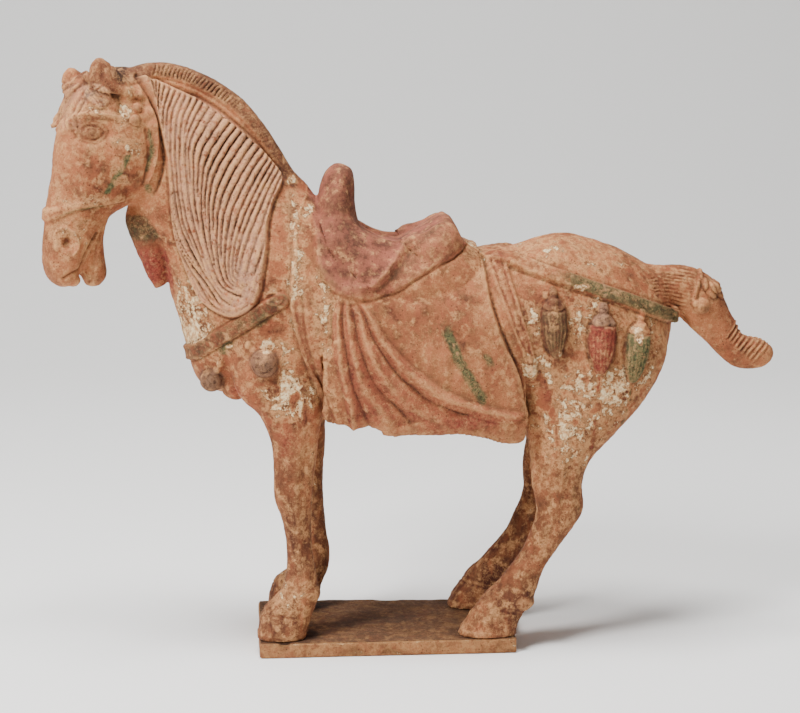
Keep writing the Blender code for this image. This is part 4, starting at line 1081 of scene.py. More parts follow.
def buildClay():
    limbs = [loft(trunkRings), loft(tailRings)]
    for side in (left, right):
        for rings, back in ((forelegRings, farForelegBack), (hindlegRings, farHindlegBack)):
            points, faces = loft(rings, side)
            if side == right:
                points[:, 0] += np.interp(points[:, 2], *zip(*back))
            limbs.append((points, faces))
    for rings in (skullRings, jawRings):
        points, faces = loft(rings)
        limbs.append((turnHead(points), faces))
    body = fuse(limbs, horseLook["bodyStep"], 9)
    tree = BVHTree.FromPolygons([v.co[:] for v in body.vertices], [tuple(p.vertices) for p in body.polygons])
    print("limbs fused:", len(body.vertices), "points")

    added = [asShape(body), loft(crestRings), loft(seatRings), loft(pommelRings), loft(cantleRings),
             loft(pendantRings, sides=36)]
    for x, y, z, radii in mouthBalls:
        points, faces = ball((x, y, z), radii)
        added.append((turnHead(points), faces))
    for side in (left, right):
        added.append(loft(flapRings, side, sides=40))
        x, y, z = earPlaces[side]
        points, faces = loft(earRings, side, 2.0, 24)
        added.append((turnHead(points + (x, side * y, z)), faces))
        points, faces = loft(forelockRings[side], side, 2.0, 24)
        added.append((turnHead(points), faces))
        for x, z, size in bossPlaces:
            middle = turnHead(np.array([[x, side * 20.0, z]]))[0]
            y = surfaceY(tree, middle[0], middle[2], side)
            radius = 0.5 * ornamentLook["bossWidth"] * size
            added.append(ball((middle[0], y + side * 0.2, z), [radius] * 3))
        x, z, radius = redTuft
        added.append(ball((x, surfaceY(tree, x, z, side) - side * 1.5, z), (radius, 7.0, 0.9 * radius)))
        for (x, z, size), link in bellPlaces:
            y = surfaceY(tree, x, z, side)
            radius = 0.5 * ornamentLook["bellWidth"] * size
            added.append(ball((x, y + side * 0.3 * radius, z), [radius] * 3))
            for share in (0.0, 0.35, 0.6):
                middle = (link[0] + share * (x - link[0]), link[1] + share * (z - link[1]))
                y = surfaceY(tree, *middle, side) + side * 0.8
                added.append(ball((middle[0], y, middle[1]), (2.4, 2.0, 2.4)))
        for top, bottom, width in tasselAxes:
            added.append(tassel(tree, top, bottom, width, side))
            x, z = top[0], top[1] - 9.0
            added.append(ball((x, surfaceY(tree, x, z, side) + side * 4.2, z), (3.0, 3.0, 3.0)))
        x, z = crupperKnot
        added.append(ball((x, surfaceY(tree, x, z, side) + side * 0.5, z), (5.0, 4.0, 4.6)))
        added.append(ball((195.3, side * 12.2, 200), (5.3, 4.4, 5.3)))
    for centre, radii in tailBows:
        added.append(ball(centre, radii))
    clay = fuse(added, horseLook["clayStep"], 2)
    mend(clay)
    print("clay fused:", len(clay.vertices), "points")
    return clay


def carveClay(clay):
    # moves each point along its normal by the relief, and returns the paint masks at the new points
    points, normals = inTable(clay), vectors(clay, "normal")
    straight = turnHead(points, -headTurn)
    turnedNormals = turnHead(normals + (headPivot, 0, 0), -headTurn) - (headPivot, 0, 0)
    height, paint = bodyCarving(points, normals)
    tassels, groove, masks = tasselCarving(points)
    headHeight, headMasks = headCarving(straight, turnedNormals)
    height += tassels + headHeight
    height += horseLook["handDepth"] * grain(points, horseLook["handSize"], 1)
    height += horseLook["wornDepth"] * grain(points, horseLook["wornSize"], 2) * (1 - 0.6 * paint["mane"])
    rough = 1 - 0.6 * paint["saddle"]
    height += (0.13 * grain(points, 1.8, 12) + 0.16 * grain(points, 6.0, 33)) * rough
    paint["groove"] = np.maximum.reduce([paint["groove"], groove, headMasks.pop("groove")])
    paint.update(headMasks)
    paint["tassels"] = masks
    carved = points + normals * height[:, None]
    low = carved[:, 2] < 0.6                       # flat soles on the slab
    carved[low, 2] = np.maximum(carved[low, 2], 0)
    co = carved * unit + (0, 0, soleHeight)
    clay.vertices.foreach_set("co", co.ravel())
    clay.update()
    paint["fine"] = hollows(clay, carved, 3)
    paint["broad"] = hollows(clay, carved, 24)
    return carved, paint


def handOn(points, masks, target):
    # each mask at the nearest of the first points, for the points of a simplified mesh
    tree = KDTree(len(points))
    for i, point in enumerate(points):
        tree.insert(point, i)
    tree.balance()
    found = np.array([tree.find(point)[1] for point in target])
    return {name: mask[found] for name, mask in masks.items()}


# Where the worn paint, slip and dirt lie, and where shade and highlights are painted in. Each is a share from 0
# to 1, kept as a colour attribute.

# slip left on the clay: (x, z), (reach along x, along z), amount
slipPlaces = [
    ((-118, 205), (16, 40), 0.65),
    ((-112, 182), (26, 14), 0.40),
    ((-60, 152), (20, 17), 0.80),
    ((-62, 176), (8, 14), 0.5),
    ((-56, 222), (7, 46), 0.55),
    ((-55, 262), (12, 12), 0.40),
    ((-38, 205), (12, 36), 0.45),
    ((92, 166), (12, 14), 0.60),
    ((118, 146), (40, 26), 0.50),
    ((108, 124), (24, 26), 0.38),
    ((140, 160), (26, 18), 0.42),
    ((84, 190), (10, 26), 0.40),
    ((118, 196), (38, 22), 0.42),
    ((162, 180), (12, 36), 0.30),
    ((110, 234), (56, 18), 0.20),
    ((-48, 96), (10, 40), 0.15),
    ((-62, 26), (16, 12), 0.30),
    ((104, 90), (26, 40), 0.10),
    ((10, 180), (20, 16), 0.12),
    ((54, 232), (10, 14), 0.45),
]
# the same on the head, in its straight frame
headSlipPlaces = [
    ((-182, 322), (22, 9), 0.35),
    ((-190, 268), (24, 7), 0.22),
    ((-165, 300), (12, 26), 0.25),
    ((-196, 250), (14, 14), 0.30),
    ((-160, 326), (10, 18), 0.35),
    ((-190, 300), (16, 10), 0.12),
]
chips = [((115.8, 216.3), (4.6, 2.0)), ((151.5, 187), (2.6, 5.0)), ((-57, 279), (3.0, 2.2)), ((-46, 263),
         (1.8, 2.6)), ((98, 236), (2.0, 1.2)), ((-73, 182), (4.5, 4.0)), ((85, 166), (5.0, 4.5)),
         ((-62, 158), (9.0, 6.0)), ((-96, 181), (1.8, 1.6)), ((103, 177), (1.8, 1.8)), ((-53, 144),
         (3.0, 7.0))]
headChips = [((-164.6, 300.4), (2.2, 3.0)), ((-188.4, 257.2), (1.3, 1.5))]
# crisp holes in the slip, with the dark body showing: (x, z), (reach), tilt
losses = [((93.5, 152), (5.0, 12.0), 0.2), ((-68, 159), (3.4, 6.0), 0.5), ((-50, 140), (3.5, 7.0), 0.3),
          ((-57, 150), (3.0, 5.5), -0.4), ((110, 160), (2.5, 3.0), 0.0), ((121, 158), (3.0, 1.6), 0.4),
          ((126, 142), (5.0, 2.4), 0.3), ((112, 134), (3.0, 2.0), 0.0), ((100, 138), (2.6, 4.0), 0.3)]
greenMarks = [([(35, 190), (42, 174), (50, 160), (56, 150)], 3.4, 0.95), ([(58, 176), (61, 172)], 2.6, 0.8),
              ([(-34, 214), (-35, 198), (-36, 184)], 1.4, 0.6), ([(-100, 178), (-96, 182)], 3.0, 0.9),
              ([(-80, 195), (-74, 200)], 4.0, 0.6), ([(10, 182), (24, 192), (38, 196)], 4.0, 0.35),
              ([(118, 66), (116, 80), (112, 96)], 4.0, 0.3), ([(-46, 60), (-47, 84), (-46, 110)], 3.0, 0.3),
              ([(66, 60), (74, 72), (82, 90)], 4.0, 0.35)]
# the second of these lies in the hollow inside the cheek band: painted shade in greenish grey
headGreenMarks = [([(-164.5, 295.5), (-169, 286), (-175.5, 274)], 1.7, 1.2), ([(-151, 310), (-149.5, 298),
                  (-152, 287)], 1.5, 0.9), ([(-151, 277), (-149, 274)], 1.6, 1.1), ([(-203, 261),
                  (-193.5, 264), (-178, 266)], 0.9, 0.8)]

# darker and redder patches: (x, z), (reach along x, along z), amount
redPlaces = [((-92, 152), (10, 10), 0.8), ((-62, 122), (12, 26), 0.55), ((96, 150), (6, 12), 0.5),
             ((90, 190), (14, 30), 0.25), ((-41, 250), (8, 30), 0.3), ((-78, 172), (18, 14), 0.25)]
deepPlaces = [((108, 180), (50, 34), 0.30), ((-78, 172), (34, 22), 0.45), ((112, 118), (30, 26), 0.35),
              ((86, 205), (12, 34), 0.35), ((-56, 60), (18, 40), 0.45), ((-62, 112), (16, 34), 0.5),
              ((122, 112), (24, 40), 0.35), ((-140, 262), (12, 26), 0.45), ((198, 200), (16, 26), 0.25),
              ((88, 14), (40, 22), 0.8), ((-68, 12), (20, 16), 0.55), ((-30, 256), (16, 40), 0.80),
              ((64, 74), (22, 60), 0.45)]


def patches(flat, places):
    total = np.zeros(len(flat))
    for centre, radii, amount in places:
        total += dome(flat, centre, radii, 0.0, 0.8) * amount
    return total


def paintHorse(points, masks):
    # three colour attributes: (slip, red, green, rose), (dirt and painted shade, wear and painted highlight,
    # ochre, strand), (grey, brown, deep with painted shade, pale with painted highlight)
    flat = points[:, [0, 2]]
    x, y, z = points.T
    straight = turnHead(points, -headTurn)[:, [0, 2]]
    head = masks["head"]
    body1, cap1, body2, cap2, body3, cap3 = masks["tassels"].T
    tassels = np.clip(body1 + body2 + body3, 0, 1)
    hanging = (np.abs(y) < 11) * (1 - head) * rise(-x - 0.42 * (z - 238), 130, 134)
    pendant = dome(flat, (-146, 238), (22, 34), 0.42, 0.3) * hanging
    near = y < 0
    bells = np.zeros(len(points))
    for (bellX, bellZ, size), _ in bellPlaces:
        bells = np.maximum(bells, dome(flat, (bellX, bellZ), (9 * size, 9 * size), 0, 0.3))

    slip = 0.10 + patches(flat, slipPlaces) * (1 - head) + patches(straight, headSlipPlaces) * head
    slip *= 1 - 0.9 * masks["saddle"] * (1 - 0.6 * masks["flap"])
    slip *= 1 - 0.45 * np.clip(masks["cloth"], 0, 1) * rise(x, -30, -10)
    slip *= 1 - 0.7 * tassels - 0.5 * pendant
    slip *= ((1 - 0.8 * bells) * (1 - 0.8 * masks["border"]) * (1 - 0.7 * masks["mane"])
             * (1 - 0.6 * masks["strap"]))
    slip += 0.10 * masks["noseband"] + 0.5 * cap3 * rise(-x, -154, -148)
    slip -= 0.3 * masks["fold"] + 0.35 * masks["socket"]
    slip -= 0.12 * (x > 196)
    # lighter on the backs of the folds: slip, with painted highlight
    slip += 0.30 * masks["crown"] * rise(x, -22, 0) * (1 - masks["hem"])
    slip -= 0.4 * masks["bosses"]
    for centre, radii in chips:
        slip = np.maximum(slip, 1.7 * dome(flat, centre, radii, 0.0, 0.4) * (1 - head) * near)
    for centre, radii in headChips:
        slip = np.maximum(slip, 1.7 * dome(straight, centre, radii, 0.0, 0.4) * head * near)
    for centre, radii, tilt in losses:
        slip -= 1.6 * dome(flat, centre, radii, tilt, 0.35) * near

    red = 0.50 * masks["fold"] * (1 - 0.5 * masks["crown"]) + 0.38 * masks["hem"] + 0.45 * masks["border"]
    red += 1.2 * (body2 - 0.9 * cap2) + 0.15 * body1 + 0.45 * masks["band"]
    red += 1.0 * pendant * rise(-z, -244, -232) + 0.8 * masks["nostril"] + 0.4 * masks["mouth"]
    for centre, radii, amount in redPlaces:
        red += dome(flat, centre, radii) * amount * (1 - head)
    green = 0.45 * (body1 - cap1) + 1.1 * (body3 - cap3) + 0.55 * pendant * rise(z, 238, 246)
    green += 0.40 * masks["strap"] + 0.75 * masks["crupper"] * rise(x, 90, 120)
    for line, half, amount in greenMarks:
        green = np.maximum(green, stroke(flat, line, half, 1.6) * amount * (1 - head))
    for line, half, amount in headGreenMarks:
        green = np.maximum(green, stroke(straight, line, half, 0.7) * amount * head)
    rose = masks["saddle"] * (0.95 - 0.30 * masks["flap"]) + 0.15 * masks["cloth"]

    # darker in grooves and hollows: burial dirt, with painted shade in the recesses, more in the ear hollow and
    # eye socket
    dirtAndShade = (0.65 * masks["groove"] + 0.20 * rise(masks["fine"], 0.04, 0.30)
            + 0.60 * rise(masks["broad"], 0.10, 1.2))
    dirtAndShade *= 1 - 0.6 * masks["saddle"] * (1 - masks["groove"])
    dirtAndShade += 0.3 * masks["earHollow"] + 0.25 * masks["socket"]
    # lighter on ridges and bulges: worn edges, with painted highlight
    wearAndHighlight = rise(-masks["fine"], 0.02, 0.14) + 0.6 * rise(-masks["broad"], 0.12, 0.8)
    wearAndHighlight *= 1 - 0.6 * masks["saddle"]
    ochre = 0.15 + 0.45 * rise(-z, -140, -100) + 0.25 * rise(x, 55, 80) * rise(z, 205, 225)
    ochre += 0.2 * rise(-x, 100, 120) * rise(-z, -215, -190) + 0.35 * masks["cloth"] * (1 - masks["fold"])
    strand = masks["mane"] + 0.5 * masks["hair"]
    grey = 0.8 * masks["lock"] + 0.30 * masks["mane"] + 0.5 * cap2 + 0.35 * bells + 0.4 * masks["hair"]
    brown = 0.7 * cap1 + 0.75 * (body1 - cap1) + 0.9 * cap2 + 1.0 * bells + 0.75 * pendant * rise(z, 238, 246)
    brown += 0.55 * masks["strap"] + 0.60 * masks["crupper"] * rise(x, 90, 120) + 0.60 * masks["crest"]
    # brown as painted shade under the seat's rolled edge and on the pommel's right half
    brown += (0.75 * masks["roll"]
              + 0.5 * masks["saddle"] * rise(x, -33, -24) * rise(-x, 4, 14) * rise(z, 222, 240))
    brown += 0.6 * masks["bosses"] + 0.35 * masks["socket"]
    nearEar = (head * rise(z, 326, 334) * rise(straight[:, 0], -188, -183) * rise(-x, 154, 158) * near
               * (1 - masks["lock"]))
    brown += 0.45 * nearEar
    red += 0.30 * nearEar
    painted = np.clip(brown + red + green, 0, 1)
    wearAndHighlight *= 1 - 0.7 * painted
    slip = np.maximum(np.where(slip > 1.0, slip, slip * (1 - 0.85 * painted)), 0)
    # darker towards the bottom and at the muzzle; painted shade on the far side's lower legs, in the ear hollow
    # and in the eye socket; darker on the border, band, crest, strap and pendant
    deep = (0.65 * rise(-z, -140, -70) + 0.35 * masks["earHollow"] + 0.25 * rise(-x, 185, 200) * head
            + 0.6 * nearEar)
    deep += 0.5 * masks["border"] + 0.5 * masks["band"] + 0.6 * masks["crest"] + 0.8 * masks["socket"]
    deep += 0.35 * rise(y, 5, 20) * rise(-z, -128, -100) + 0.35 * pendant + 0.3 * masks["strap"]
    for centre, radii, amount in deepPlaces:
        deep += dome(flat, centre, radii) * amount * (1 - head)
    # painted highlight: lighter on the tail's ridge tops and on bulges, and paler on the flap
    pale = (masks["pale"] * 1.2 + 0.5 * rise(-masks["fine"], 0.06, 0.2) * (1 - 0.8 * painted)
            + 0.15 * masks["flap"])
    return (np.stack([slip, red, green, rose], axis=1), np.stack([dirtAndShade, wearAndHighlight, ochre, strand], axis=1),
            np.stack([grey, brown, deep, pale], axis=1))


def setColours(mesh, name, colours):
    layer = mesh.attributes.new(name, "FLOAT_COLOR", "POINT")
    layer.data.foreach_set("color", np.clip(colours, 0, 2).astype(np.float32).ravel())


# Materials

def linear(hexColour):
    # an sRGB hex value as the linear colour that sockets take
    parts = [int(hexColour[i:i + 2], 16) / 255 for i in (1, 3, 5)]
    return tuple(c / 12.92 if c <= 0.04045 else ((c + 0.055) / 1.055) ** 2.4 for c in parts) + (1.0,)


def addNode(tree, kind, inputs=None, **settings):
    # a node with its settings; an input is a value or another node's output socket
    node = tree.nodes.new(kind)
    for name, value in settings.items():
        setattr(node, name, value)
    for key, value in (inputs or {}).items():
        if isinstance(value, bpy.types.NodeSocket):
            tree.links.new(value, node.inputs[key])
        else:
            node.inputs[key].default_value = value
    return node


def newMaterial(name):
    made = bpy.data.materials.new(name)
    made.use_nodes = True
    made.node_tree.nodes.clear()
    return made, made.node_tree


def mixed(tree, factor, first, second, blend="MIX"):
    inputs = {0: factor, 6: linear(first) if isinstance(first, str) else first,
              7: linear(second) if isinstance(second, str) else second}
    return addNode(tree, "ShaderNodeMix", inputs, data_type="RGBA", blend_type=blend).outputs[2]


def number(tree, operation, a, b=0.0, clamp=False):
    return addNode(tree, "ShaderNodeMath", {0: a, 1: b}, operation=operation, use_clamp=clamp).outputs[0]


def between(tree, value, low, high, smooth=True):
    # the value spread from 0 at low to 1 at high
    kind = "SMOOTHSTEP" if smooth else "LINEAR"
    return addNode(tree, "ShaderNodeMapRange", {"Value": value, "From Min": low, "From Max": high},
                   interpolation_type=kind).outputs[0]


def noise(tree, place, millimetres, detail=4.0, roughness=0.6, stretch=None):
    if stretch:
        place = addNode(tree, "ShaderNodeMapping", {"Vector": place, "Scale": stretch}).outputs[0]
    inputs = {"Vector": place, "Scale": 1000 / millimetres, "Detail": detail, "Roughness": roughness}
    return addNode(tree, "ShaderNodeTexNoise", inputs).outputs[0]


# low-fired earthenware, press-moulded, with ground pigments in glue over white slip: wholly matt,
# the paint mostly flaked away, burial dirt and painted shade in every hollow, painted highlights on the ridges
clayLook = {
    "clay": "#8C4D32",
    "clayDeep": "#4A261A",
    "clayPale": "#C07A50",
    "ochre": "#835832",
    "rose": "#915443",
    "roseDeep": "#563126",
    "red": "#66271F",
    "redBright": "#8A3B2D",
    "green": "#575A38",
    "greenDark": "#343722",
    "slip": "#E9D3A6",
    "slipStained": "#C4905F",
    "strand": "#BE8C6D",
    "grey": "#6C6054",
    "brown": "#3B271D",
    "dirtAndShade": "#2F1C12",
    # the size of each pattern, mm
    "grit": 0.7,
    "patch": 6.0,             # patches of slip
    "cloud": 34.0,            # soft colour changes
    "mottle": 8.0,
    "speck": 2.0,
    "flake": 3.2,             # the torn edges of slip and pigment
    "streak": 5.0,            # run-down dirt, longer along z
    "vein": 5.5,              # fine cracks that still hold slip
    "loss": 5.5,              # holes in the slip
    "soot": 4.0,
    "pit": 2.7,
    "roughness": 0.88,
    "specular": 0.25,
}


def paintedClay(name, look):
    made, tree = newMaterial(name)
    add, mix, sums, spread = (partial(make, tree) for make in (addNode, mixed, number, between))
    times = partial(sums, "MULTIPLY")
    place = add("ShaderNodeTexCoord").outputs["Object"]
    pattern = partial(noise, tree, place)
    shares = []
    # the wear layer also carries painted shade in the hollows and painted highlight on the ridges
    for layer in ("paint", "wear", "tone"):
        read = add("ShaderNodeAttribute", attribute_name=layer)
        split = add("ShaderNodeSeparateColor", {0: read.outputs["Color"]}).outputs
        shares += [split[0], split[1], split[2], read.outputs["Alpha"]]
    slip, red, green, rose, dirtAndShade, wearAndHighlight, ochre, strand, grey, brown, deep, pale = shares

    cloud = pattern(look["cloud"], 3.0)
    mottle = pattern(look["mottle"], 7.0, 0.72)
    speck = pattern(look["speck"], 5.0, 0.7)
    grit = pattern(look["grit"], 2.0)
    patch = pattern(look["patch"], 9.0, 0.64)
    flake = pattern(look["flake"], 6.0, 0.70)
    streak = pattern(look["streak"], 5.0, 0.65, (1.0, 1.0, 0.22))

    # the fired body: red-brown where it is worn to the core, lighter where the skin is left
    colour = mix(spread(mottle, 0.34, 0.56), look["clayDeep"], look["clay"])
    cloudy = times(spread(cloud, 0.42, 0.66), 0.55)
    colour = mix(cloudy, colour, look["clayPale"])
    share = times(ochre, spread(streak, 0.25, 0.70))
    colour = mix(share, colour, look["ochre"])
    saddle = mix(spread(mottle, 0.36, 0.60), look["roseDeep"], look["rose"])
    colour = mix(times(rose, 0.85, True), colour, saddle)
    # darker where the deep share is high, including the painted shade that it carries
    share = times(deep, spread(streak, 0.15, 0.75), True)
    colour = mix(share, colour, look["clayDeep"])

    redPaint = mix(spread(speck, 0.44, 0.60), look["red"], look["redBright"])
    greenPaint = mix(spread(speck, 0.40, 0.60), look["greenDark"], look["green"])
    for amount, pigment in ((brown, look["brown"]), (red, redPaint), (green, greenPaint)):
        # pigment that has flaked away here and there, more so where little of it was left
        level = sums("ADD", flake, times(amount, 0.55))
        worn = spread(level, 0.62, 0.84)
        share = times(worn, sums("MINIMUM", amount, 1.0), True)
        colour = mix(share, colour, pigment)

    hair = mix(times(grey, spread(streak, 0.42, 0.58), True), look["strand"], look["grey"])
    share = times(sums("MAXIMUM", strand, grey), spread(flake, 0.34, 0.54), True)
    colour = mix(times(share, 0.85), colour, hair)

    # slip: a thin stained veil, and solid flakes with crisp edges where more of it is left
    level = sums("ADD", patch, times(slip, 0.42))
    slipColour = mix(spread(flake, 0.40, 0.60), look["slipStained"], look["slip"])
    veil = times(spread(level, 0.51, 0.72), spread(flake, 0.36, 0.54))
    colour = mix(times(veil, 0.85), colour, look["slipStained"])
    loss = times(spread(pattern(look["loss"], 6.0, 0.62), 0.555, 0.585), slip, True)
    colour = mix(times(loss, 0.9), colour, look["clayDeep"])
    level = sums("ADD", level, times(flake, 0.22))
    level = sums("SUBTRACT", level, times(loss, 0.10))
    # painted shadow along the torn edges of the solid slip, with dark crust
    edge = times(spread(level, 0.80, 0.84), spread(level, 0.90, 0.865))
    colour = mix(times(edge, 0.55), colour, look["clayDeep"])
    solid = times(spread(level, 0.86, 0.90), spread(speck, 0.60, 0.52))
    colour = mix(times(solid, 0.88), colour, slipColour)

    # slip kept in fine cracks and on single grains; the grains also stand in for painted glints
    crack = sums("ABSOLUTE", sums("SUBTRACT", pattern(look["vein"], 6.0, 0.7), 0.5))
    crack = times(spread(crack, 0.016, 0.004), spread(cloud, 0.40, 0.56))
    fleckAndGlint = sums("MAXIMUM", crack, spread(speck, 0.62, 0.68))
    bare = sums("SUBTRACT", 0.50, times(rose, 0.35))
    fleckAndGlint = times(fleckAndGlint, bare)
    colour = mix(fleckAndGlint, colour, look["slipStained"])

    # lighter on worn edges and ridges, with painted highlight
    share = times(sums("MAXIMUM", wearAndHighlight, pale), spread(flake, 0.34, 0.58))
    colour = mix(times(share, 0.45, True), colour, look["slipStained"])
    # darker in grooves and hollows: dirt with painted shade
    stainAndShade = times(dirtAndShade, spread(speck, 0.22, 0.56))
    colour = mix(times(stainAndShade, 0.85, True), colour, look["dirtAndShade"])
    soot = spread(pattern(look["soot"], 7.0, 0.78), 0.54, 0.70)
    colour = mix(times(soot, 0.6), colour, look["clayDeep"])
    pits = add("ShaderNodeTexVoronoi", {"Vector": place, "Scale": 1000 / look["pit"]}).outputs["Distance"]
    pits = times(spread(pits, 0.20, 0.08), spread(mottle, 0.44, 0.54))
    colour = mix(times(pits, 0.75), colour, look["dirtAndShade"])
    shade = spread(grit, 0.2, 0.8, False)
    colour = mix(0.25, colour, mix(shade, "#4A3A30", "#FFFFFF"), "OVERLAY")

    # relief, as (height, depth in metres, strength, sunk)
    bump = None
    for height, depth, strength, sunk in ((flake, 0.00045, 1.0, False), (solid, 0.00022, 0.9, False),
                                          (pits, 0.00025, 0.8, True), (grit, 0.00014, 0.8, False)):
        inputs = {"Strength": strength, "Distance": depth, "Height": height}
        if bump:
            inputs["Normal"] = bump.outputs[0]
        bump = add("ShaderNodeBump", inputs, invert=sunk)
    rough = add("ShaderNodeMapRange", {"Value": mottle, "To Min": look["roughness"] - 0.08,
                                       "To Max": look["roughness"] + 0.08}).outputs[0]
    shader = add("ShaderNodeBsdfPrincipled", {"Base Color": colour, "Roughness": rough,
                                              "Specular IOR Level": look["specular"],
                                              "Normal": bump.outputs[0]})
    add("ShaderNodeOutputMaterial", {"Surface": shader.outputs[0]})
    return made


# The slab: rolled out by hand, bare clay, dusty on top

hoofPlaces = [(-66, -stance), (-59, stance), (61, -stance), (60, stance)]
slabLook = {
    "front": -80.0, "back": 79.0,     # mm along the horse
    "side": 47.5,
    "taper": 1.48,                    # wider in front than behind, each side
    "step": 1.05,
    "wear": 1.3,
    "lump": 0.45,
}


def buildSlab():
    look = slabLook
    shape = bmesh.new()
    bmesh.ops.create_cube(shape, size=1.0)
    middle = 0.5 * (look["front"] + look["back"])
    thick = slabThickness / unit
    for vertex in shape.verts:
        x, y, z = vertex.co
        side = look["side"] - 2 * x * look["taper"]
        vertex.co = ((middle + x * (look["back"] - look["front"])) * unit, 2 * y * side * unit,
                     (z + 0.5) * thick * unit)
    mesh = bpy.data.meshes.new("slab")
    shape.to_mesh(mesh)
    shape.free()
    mesh = evaluated(mesh, ("BEVEL", {"width": look["wear"] * unit, "segments": 3}),
                     ("REMESH", {"mode": "VOXEL", "voxel_size": look["step"] * unit, "adaptivity": 0.0}),
                     ("SMOOTH", {"factor": 0.5, "iterations": 2}))
    points, normals = vectors(mesh, "co") / unit, vectors(mesh, "normal")
    height = look["lump"] * (grain(points, 13, 21) + 0.5 * grain(points, 5, 22)) - 0.35
    broken = rise(grain(points, 9, 23), 0.25, 0.6) * rise(np.abs(points[:, 1]), 45, 48)
    height -= broken * 1.1
    height *= rise(points[:, 2], 0.3, 1.6)
    carved = points + normals * height[:, None]
    carved[:, 2] = np.clip(carved[:, 2], 0, thick - 0.05)
    mesh.vertices.foreach_set("co", (carved * unit).ravel())
    mesh.update()
    top = rise(normals[:, 2], 0.5, 0.9)
    streak = 0.5 + 0.5 * grain(points * (0.12, 1, 1), 3.2, 24)
    zeros = np.zeros(len(points))
    near = np.full(len(points), 99.0)
    for x, y in hoofPlaces:
        near = np.minimum(near, np.hypot((points[:, 0] - x) / 1.3, points[:, 1] - y) - hoofHalf)
    # painted shade on the slab's top around the hooves
    contactShade = top * rise(-near, -7, 0)
    # the upper edge of the slab's sides is lighter: worn, with painted highlight
    rim = rise(points[:, 2], thick - 1.6, thick - 0.9) * rise(-top, -0.95, -0.5)
    setColours(mesh, "paint", np.stack([0.30 - 0.20 * top + 0.3 * rim, 0.1 * (1 - top),
                                        0.34 * top * streak, zeros], axis=1))
    setColours(mesh, "wear", np.stack([(0.30 + 0.25 * streak) * top + 0.5 * contactShade + 0.4 * broken,
                                       0.5 * (1 - top) + rim, 0.5 * top, zeros], axis=1))
    setColours(mesh, "tone", np.stack([zeros, 0.55 * top, zeros, 0.8 * rim], axis=1))
    return mesh


def addPiece(name, mesh, material, nodes):
    piece = bpy.data.objects.new(name, mesh)
    bpy.context.scene.collection.objects.link(piece)
    piece.data.materials.clear()
    piece.data.materials.append(material)
    piece.data.shade_smooth()
    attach(piece, "root")
    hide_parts(*nodes)
    return piece


clay = buildClay()
carved, masks = carveClay(clay)
masks["tassels"] = np.stack(masks["tassels"], axis=1)
print("clay carved")
share = horseLook["faces"] / (2 * len(clay.polygons))
horseMesh = evaluated(clay, ("TRIANGULATE", {}), ("DECIMATE", {"ratio": min(share, 1.0)}))
kept = handOn(carved, masks, inTable(horseMesh))
for layer, colours in zip(("paint", "wear", "tone"), paintHorse(inTable(horseMesh), kept)):
    setColours(horseMesh, layer, colours)
horseMesh.name = "paintedHorse"
print("horse:", len(horseMesh.polygons), "faces")
addPiece("paintedHorse", horseMesh, paintedClay("cold-painted earthenware", clayLook), ["horse"])

slabClay = dict(clayLook, clay="#8A5638", clayDeep="#5E3722", clayPale="#A57048", ochre="#75603F",
                green="#565238", greenDark="#3C3A26", slip="#D9B98C", slipStained="#AA7C50")
slabMesh = buildSlab()
slabMesh.name = "handmadeSlab"
print("slab:", len(slabMesh.polygons), "faces")
addPiece("handmadeSlab", slabMesh, paintedClay("bare fired earthenware", slabClay), ["base_slab"])


# Floor, light and camera

roomLook = {
    "floor": "#F7F6F4",
    "wallDistance": 2.1,
    "wallHeight": 3.0,
    "near": -3.0,              # y where the floor begins
    "half": 4.0,               # half the sheet's width
    "bend": 1.2,
    "bendSteps": 24,
    "world": "#E9E8E6",
    "worldStrength": 0.17,
}


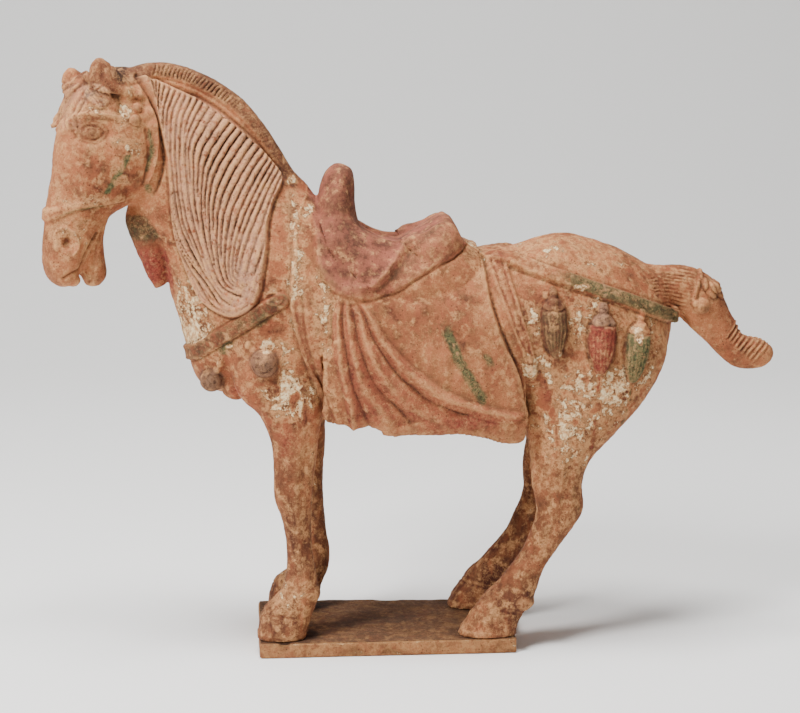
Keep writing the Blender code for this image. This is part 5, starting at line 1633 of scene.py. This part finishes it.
def buildRoom():
    # one sheet of pale paper: the floor, a wide bend and the wall behind
    look = roomLook
    profile = [(look["near"], 0.0), (look["wallDistance"] - look["bend"], 0.0)]
    for i in range(1, look["bendSteps"] + 1):
        angle = math.pi / 2 * i / look["bendSteps"]
        profile.append((look["wallDistance"] - look["bend"] + look["bend"] * math.sin(angle),
                        look["bend"] * (1 - math.cos(angle))))
    profile.append((look["wallDistance"], look["wallHeight"]))
    points = [(x, y, z) for y, z in profile for x in (-look["half"], look["half"])]
    faces = [(2 * i, 2 * i + 1, 2 * i + 3, 2 * i + 2) for i in range(len(profile) - 1)]
    mesh = bpy.data.meshes.new("paperSweep")
    mesh.from_pydata(points, [], faces)
    mesh.shade_smooth()
    made, tree = newMaterial("matt studio paper")
    shader = addNode(tree, "ShaderNodeBsdfPrincipled", {"Base Color": linear(look["floor"]), "Roughness": 0.95,
                                                        "Specular IOR Level": 0.1})
    addNode(tree, "ShaderNodeOutputMaterial", {"Surface": shader.outputs[0]})
    mesh.materials.append(made)
    sweep = bpy.data.objects.new("paperSweep", mesh)
    bpy.context.scene.collection.objects.link(sweep)


cameraLook = {
    "azimuth": -3.5, "elevation": 10.0,    # degrees
    "distance": 1.488,
    "aim": (0.0093, 0.0, 0.1782),
    "lens": 108.0,
}

# each light as (place, aim, width, height, watts)
lights = {
    "keyFromUpperLeft": ((-0.95, -0.85, 1.15), (0, 0, 0.16), 0.45, 0.45, 30.0),
    "fillFromRight": ((1.3, -1.2, 0.5), (0, 0, 0.18), 1.2, 1.2, 2.0),
    "softTop": ((-0.15, -0.25, 1.9), (0.0, -0.1, 0.0), 0.9, 0.7, 50.0),
    "wallWash": ((0.0, 0.7, 2.3), (0.0, 2.1, 0.5), 2.2, 0.8, 6.0),
}


def aimed(thing, place, target):
    thing.location = place
    thing.rotation_euler = (Vector(target) - Vector(place)).to_track_quat("-Z", "Y").to_euler()
    bpy.context.scene.collection.objects.link(thing)


def setStudio():
    look = cameraLook
    azimuth, elevation = math.radians(look["azimuth"]), math.radians(look["elevation"])
    back = Vector((math.sin(azimuth) * math.cos(elevation), -math.cos(azimuth) * math.cos(elevation),
                   math.sin(elevation)))
    lensData = bpy.data.cameras.new("photoView")
    lensData.lens = look["lens"]
    lensData.sensor_width = 36.0
    camera = bpy.data.objects.new("photoView", lensData)
    aimed(camera, Vector(look["aim"]) + back * look["distance"], look["aim"])
    bpy.context.scene.camera = camera
    for name, (place, target, width, height, watts) in lights.items():
        data = bpy.data.lights.new(name, "AREA")
        data.shape = "RECTANGLE"
        data.size, data.size_y, data.energy = width, height, watts
        aimed(bpy.data.objects.new(name, data), place, target)
    world = bpy.data.worlds.new("paleRoom")
    world.use_nodes = True
    world.node_tree.nodes["Background"].inputs[0].default_value = linear(roomLook["world"])
    world.node_tree.nodes["Background"].inputs[1].default_value = roomLook["worldStrength"]
    bpy.context.scene.world = world


buildRoom()
setStudio()
print("room, light and camera set")
